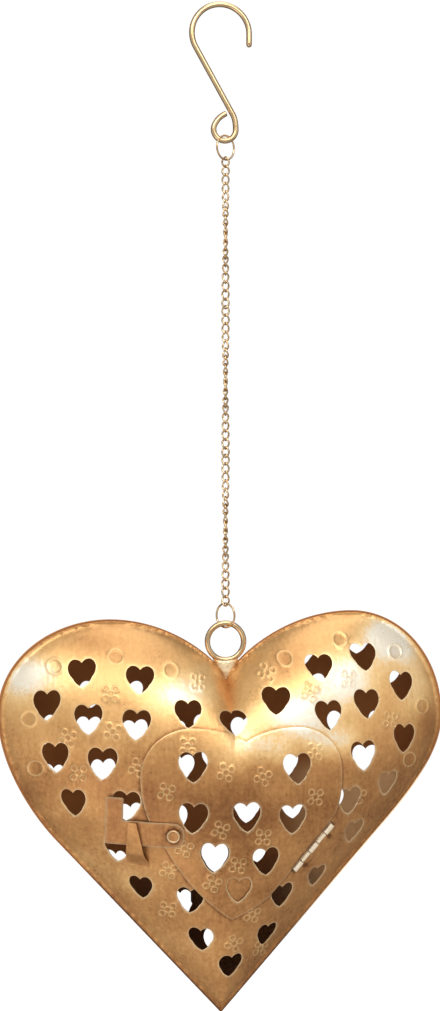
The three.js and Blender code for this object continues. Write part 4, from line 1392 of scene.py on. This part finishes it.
def makeJumpRing(name, node, height, turn, body):
    angle = fullTurn(72)
    lean = math.radians(turn)
    circle = np.stack([np.cos(angle) * math.cos(lean), np.cos(angle) * math.sin(lean), np.sin(angle)], 1)
    path = ringMean * circle + (0, 0, height)
    ring = wirePart(path, rings["wire"] / 2, 14, True, circle)
    makePiece(name, node, [ring], [goldWire], body)


# A curb link is an oval whose ends are twisted opposite ways about its long axis. The first link of a run
# hangs clear of the one above it.
def linkPart(number):
    runsAbove = number // chain["inRun"]
    inRun = chain["height"] - chain["wire"] + chain["bite"]
    between = chain["height"] - chain["wire"] - clearance
    top = upperRingHeight - ringMean + ringOnLink - (number - runsAbove) * inRun - runsAbove * between
    middle = top - chain["height"] / 2
    turn = 2 * math.pi * (np.arange(28) + 0.5) / 28
    across = chain["width"] / 2 * np.cos(turn)
    up = chain["shownHeight"] / 2 * np.sin(turn)
    facing = math.radians(chain["firstTurn"] + chain["turnPerLink"] * number)
    twist = facing + math.radians(chain["twist"]) * 2 * up / chain["shownHeight"]
    shape = np.stack([across * np.cos(twist), across * np.sin(twist), up], 1)
    return wirePart(shape + (0, 0, middle), chain["shownWire"] / 2, 9, True, shape)


def makeChain():
    for run in range(chain["links"] // chain["inRun"]):
        links = [linkPart(run * chain["inRun"] + step) for step in range(chain["inRun"])]
        name, node, body = f"chainLinks{run + 1}", f"chain_run_{run + 1}", f"chain_{run + 1}"
        makePiece(name, node, links, [goldWire], body)


# The weld bead: level ovals stacked from the notch up into the ring, their width and thickness first
# growing and then closing in, bent up at their sides, with small lumps added round them
def makeHangingRing():
    mean = (rings["hangingDiameter"] - rings["hangingWire"]) / 2
    height = notchHeight + rings["toNotch"] + rings["hangingDiameter"] / 2
    angle = fullTurn(96)
    circle = np.stack([np.cos(angle), np.zeros(96), np.sin(angle)], 1)
    uneven = (1 + 0.012 * np.sin(3 * angle + 1) + 0.01 * np.sin(7 * angle)) / 1.022
    radii = rings["hangingWire"] / 2 * uneven
    ring = wirePart(mean * circle + (0, 0, height), radii, 20, True, circle)
    rise = np.linspace(0, 1, 26)[:, None]
    turn = fullTurn(40)[None, :]
    closing = np.sqrt(1 - np.clip((rise - 0.75) / 0.25, 0, 1) ** 2)
    width = (1.2 + (rings["weldWidth"] / 2 - 1.2) * smoothStep(rise / 0.8)) * closing
    thick = (1.5 + (rings["weldThickness"] / 2 - 1.5) * smoothStep(rise / 0.4)) * closing
    lumpy = 1 - 0.05 * (1 + np.sin(3 * turn + 9 * rise)) - 0.03 * (1 + np.sin(7 * turn - 13 * rise))
    aside = width * np.cos(turn) * lumpy
    low, high = rings["weldReach"]
    z = notchHeight + low + (high - low) * rise + 0.045 * aside**2
    points = np.stack([heart["notch"][0] + aside, thick * np.sin(turn) * lumpy, z], -1)
    bottom = list(range(40))[::-1]
    bead = part(points, [*gridFaces(26, 40, wrapColumns=True).tolist(), bottom], 1)
    makePiece("hangingRing", "hanging_ring", [ring, bead], [goldWire, weldBead])


makeHook()
makeJumpRing("upperJumpRing", "upper_jump_ring", upperRingHeight, rings["upperTurn"], "upper_ring")
makeJumpRing("lowerJumpRing", "lower_jump_ring", lowerRingHeight, rings["lowerTurn"], "lower_ring")
makeChain()
makeHangingRing()
print("hook and chain ready")


# Studio, in metres and watts
studio = {
    "floor": -1.6,
    "skyTop": 0.58,  # strength of the light from straight above, and from straight below
    "skyBottom": 0.46,
    "darkBehind": 0.85,  # share of it that is missing behind the heart, and on the right
    "darkRight": 0.3,
    "backdrop": 1.02,  # strength of the white that the camera sees
    "exposure": 0.0,
}


# A lamp that faces its aim
def areaLight(name, place, aim, size, power, colour=(1, 1, 1)):
    made = bpy.data.lights.new(name, "AREA")
    made.shape = "RECTANGLE"
    made.size, made.size_y = size
    made.energy = power
    made.color = colour
    lamp = bpy.data.objects.new(name, made)
    lamp.location = place
    away = np.array(place) - np.array(aim)
    flat = math.hypot(away[0], away[1])
    lamp.rotation_euler = (math.atan2(flat, away[2]), 0, math.atan2(away[0], -away[1]))
    bpy.context.collection.objects.link(lamp)


def makeStudio():
    bpy.ops.mesh.primitive_plane_add(size=14, location=(0, 0, studio["floor"]))
    floor = bpy.context.object
    floor.name = "studioFloor"
    pale = Finish("paleFloor", Roughness=0.9, Emission_Color=(1, 1, 1, 1), Emission_Strength=0.75)
    grain = pale.noise(pale.places(), 3, 2)
    pale.feed("Base Color", pale.blend(grain, (0.9, 0.9, 0.9, 1), (0.93, 0.93, 0.92, 1)))
    floor.data.materials.append(pale.material)
    floor.visible_glossy = False
    world = bpy.data.worlds.new("studioWorld")
    bpy.context.scene.world = world
    world.use_nodes = True
    sky = Nodes(world.node_tree, "Background")
    away = sky.node("TexCoord", output="Generated")
    x, y, z = sky.axes(away, "XYZ")
    low, high = studio["skyBottom"], studio["skyTop"]
    glow = z * (0.5 * (high - low)) + 0.5 * (high + low)
    glow = glow * (1 - sky.eased(y, -0.1, 0.6) * studio["darkBehind"])
    glow = glow * (1 - sky.eased(x, 0.1, 0.9) * studio["darkRight"])
    seen = sky.node("LightPath", output="Is Camera Ray")
    sky.shader.inputs["Color"].default_value = (1, 1, 1, 1)
    sky.feed("Strength", seen * studio["backdrop"] + (1 - seen) * glow)
    middle = (0, 0, -0.45)
    areaLight("keyLight", (-0.1, -0.95, 0.4), middle, (1.6, 0.5), 8, (1, 0.985, 0.96))
    areaLight("fillLight", (1.3, -1.0, -0.1), middle, (0.9, 1.2), 1.6)
    areaLight("lowLight", (-0.8, -1.1, -1.1), (0, 0, -0.5), (1.0, 0.9), 3, (1, 0.98, 0.95))
    areaLight("topLight", (0.15, -0.1, 1.0), middle, (1.2, 0.8), 5)
    areaLight("backLight", (0.2, 1.6, 0.2), middle, (1.4, 1.2), 4)
    bpy.context.scene.view_settings.view_transform = "Standard"
    bpy.context.scene.view_settings.exposure = studio["exposure"]


makeStudio()
print("studio ready")
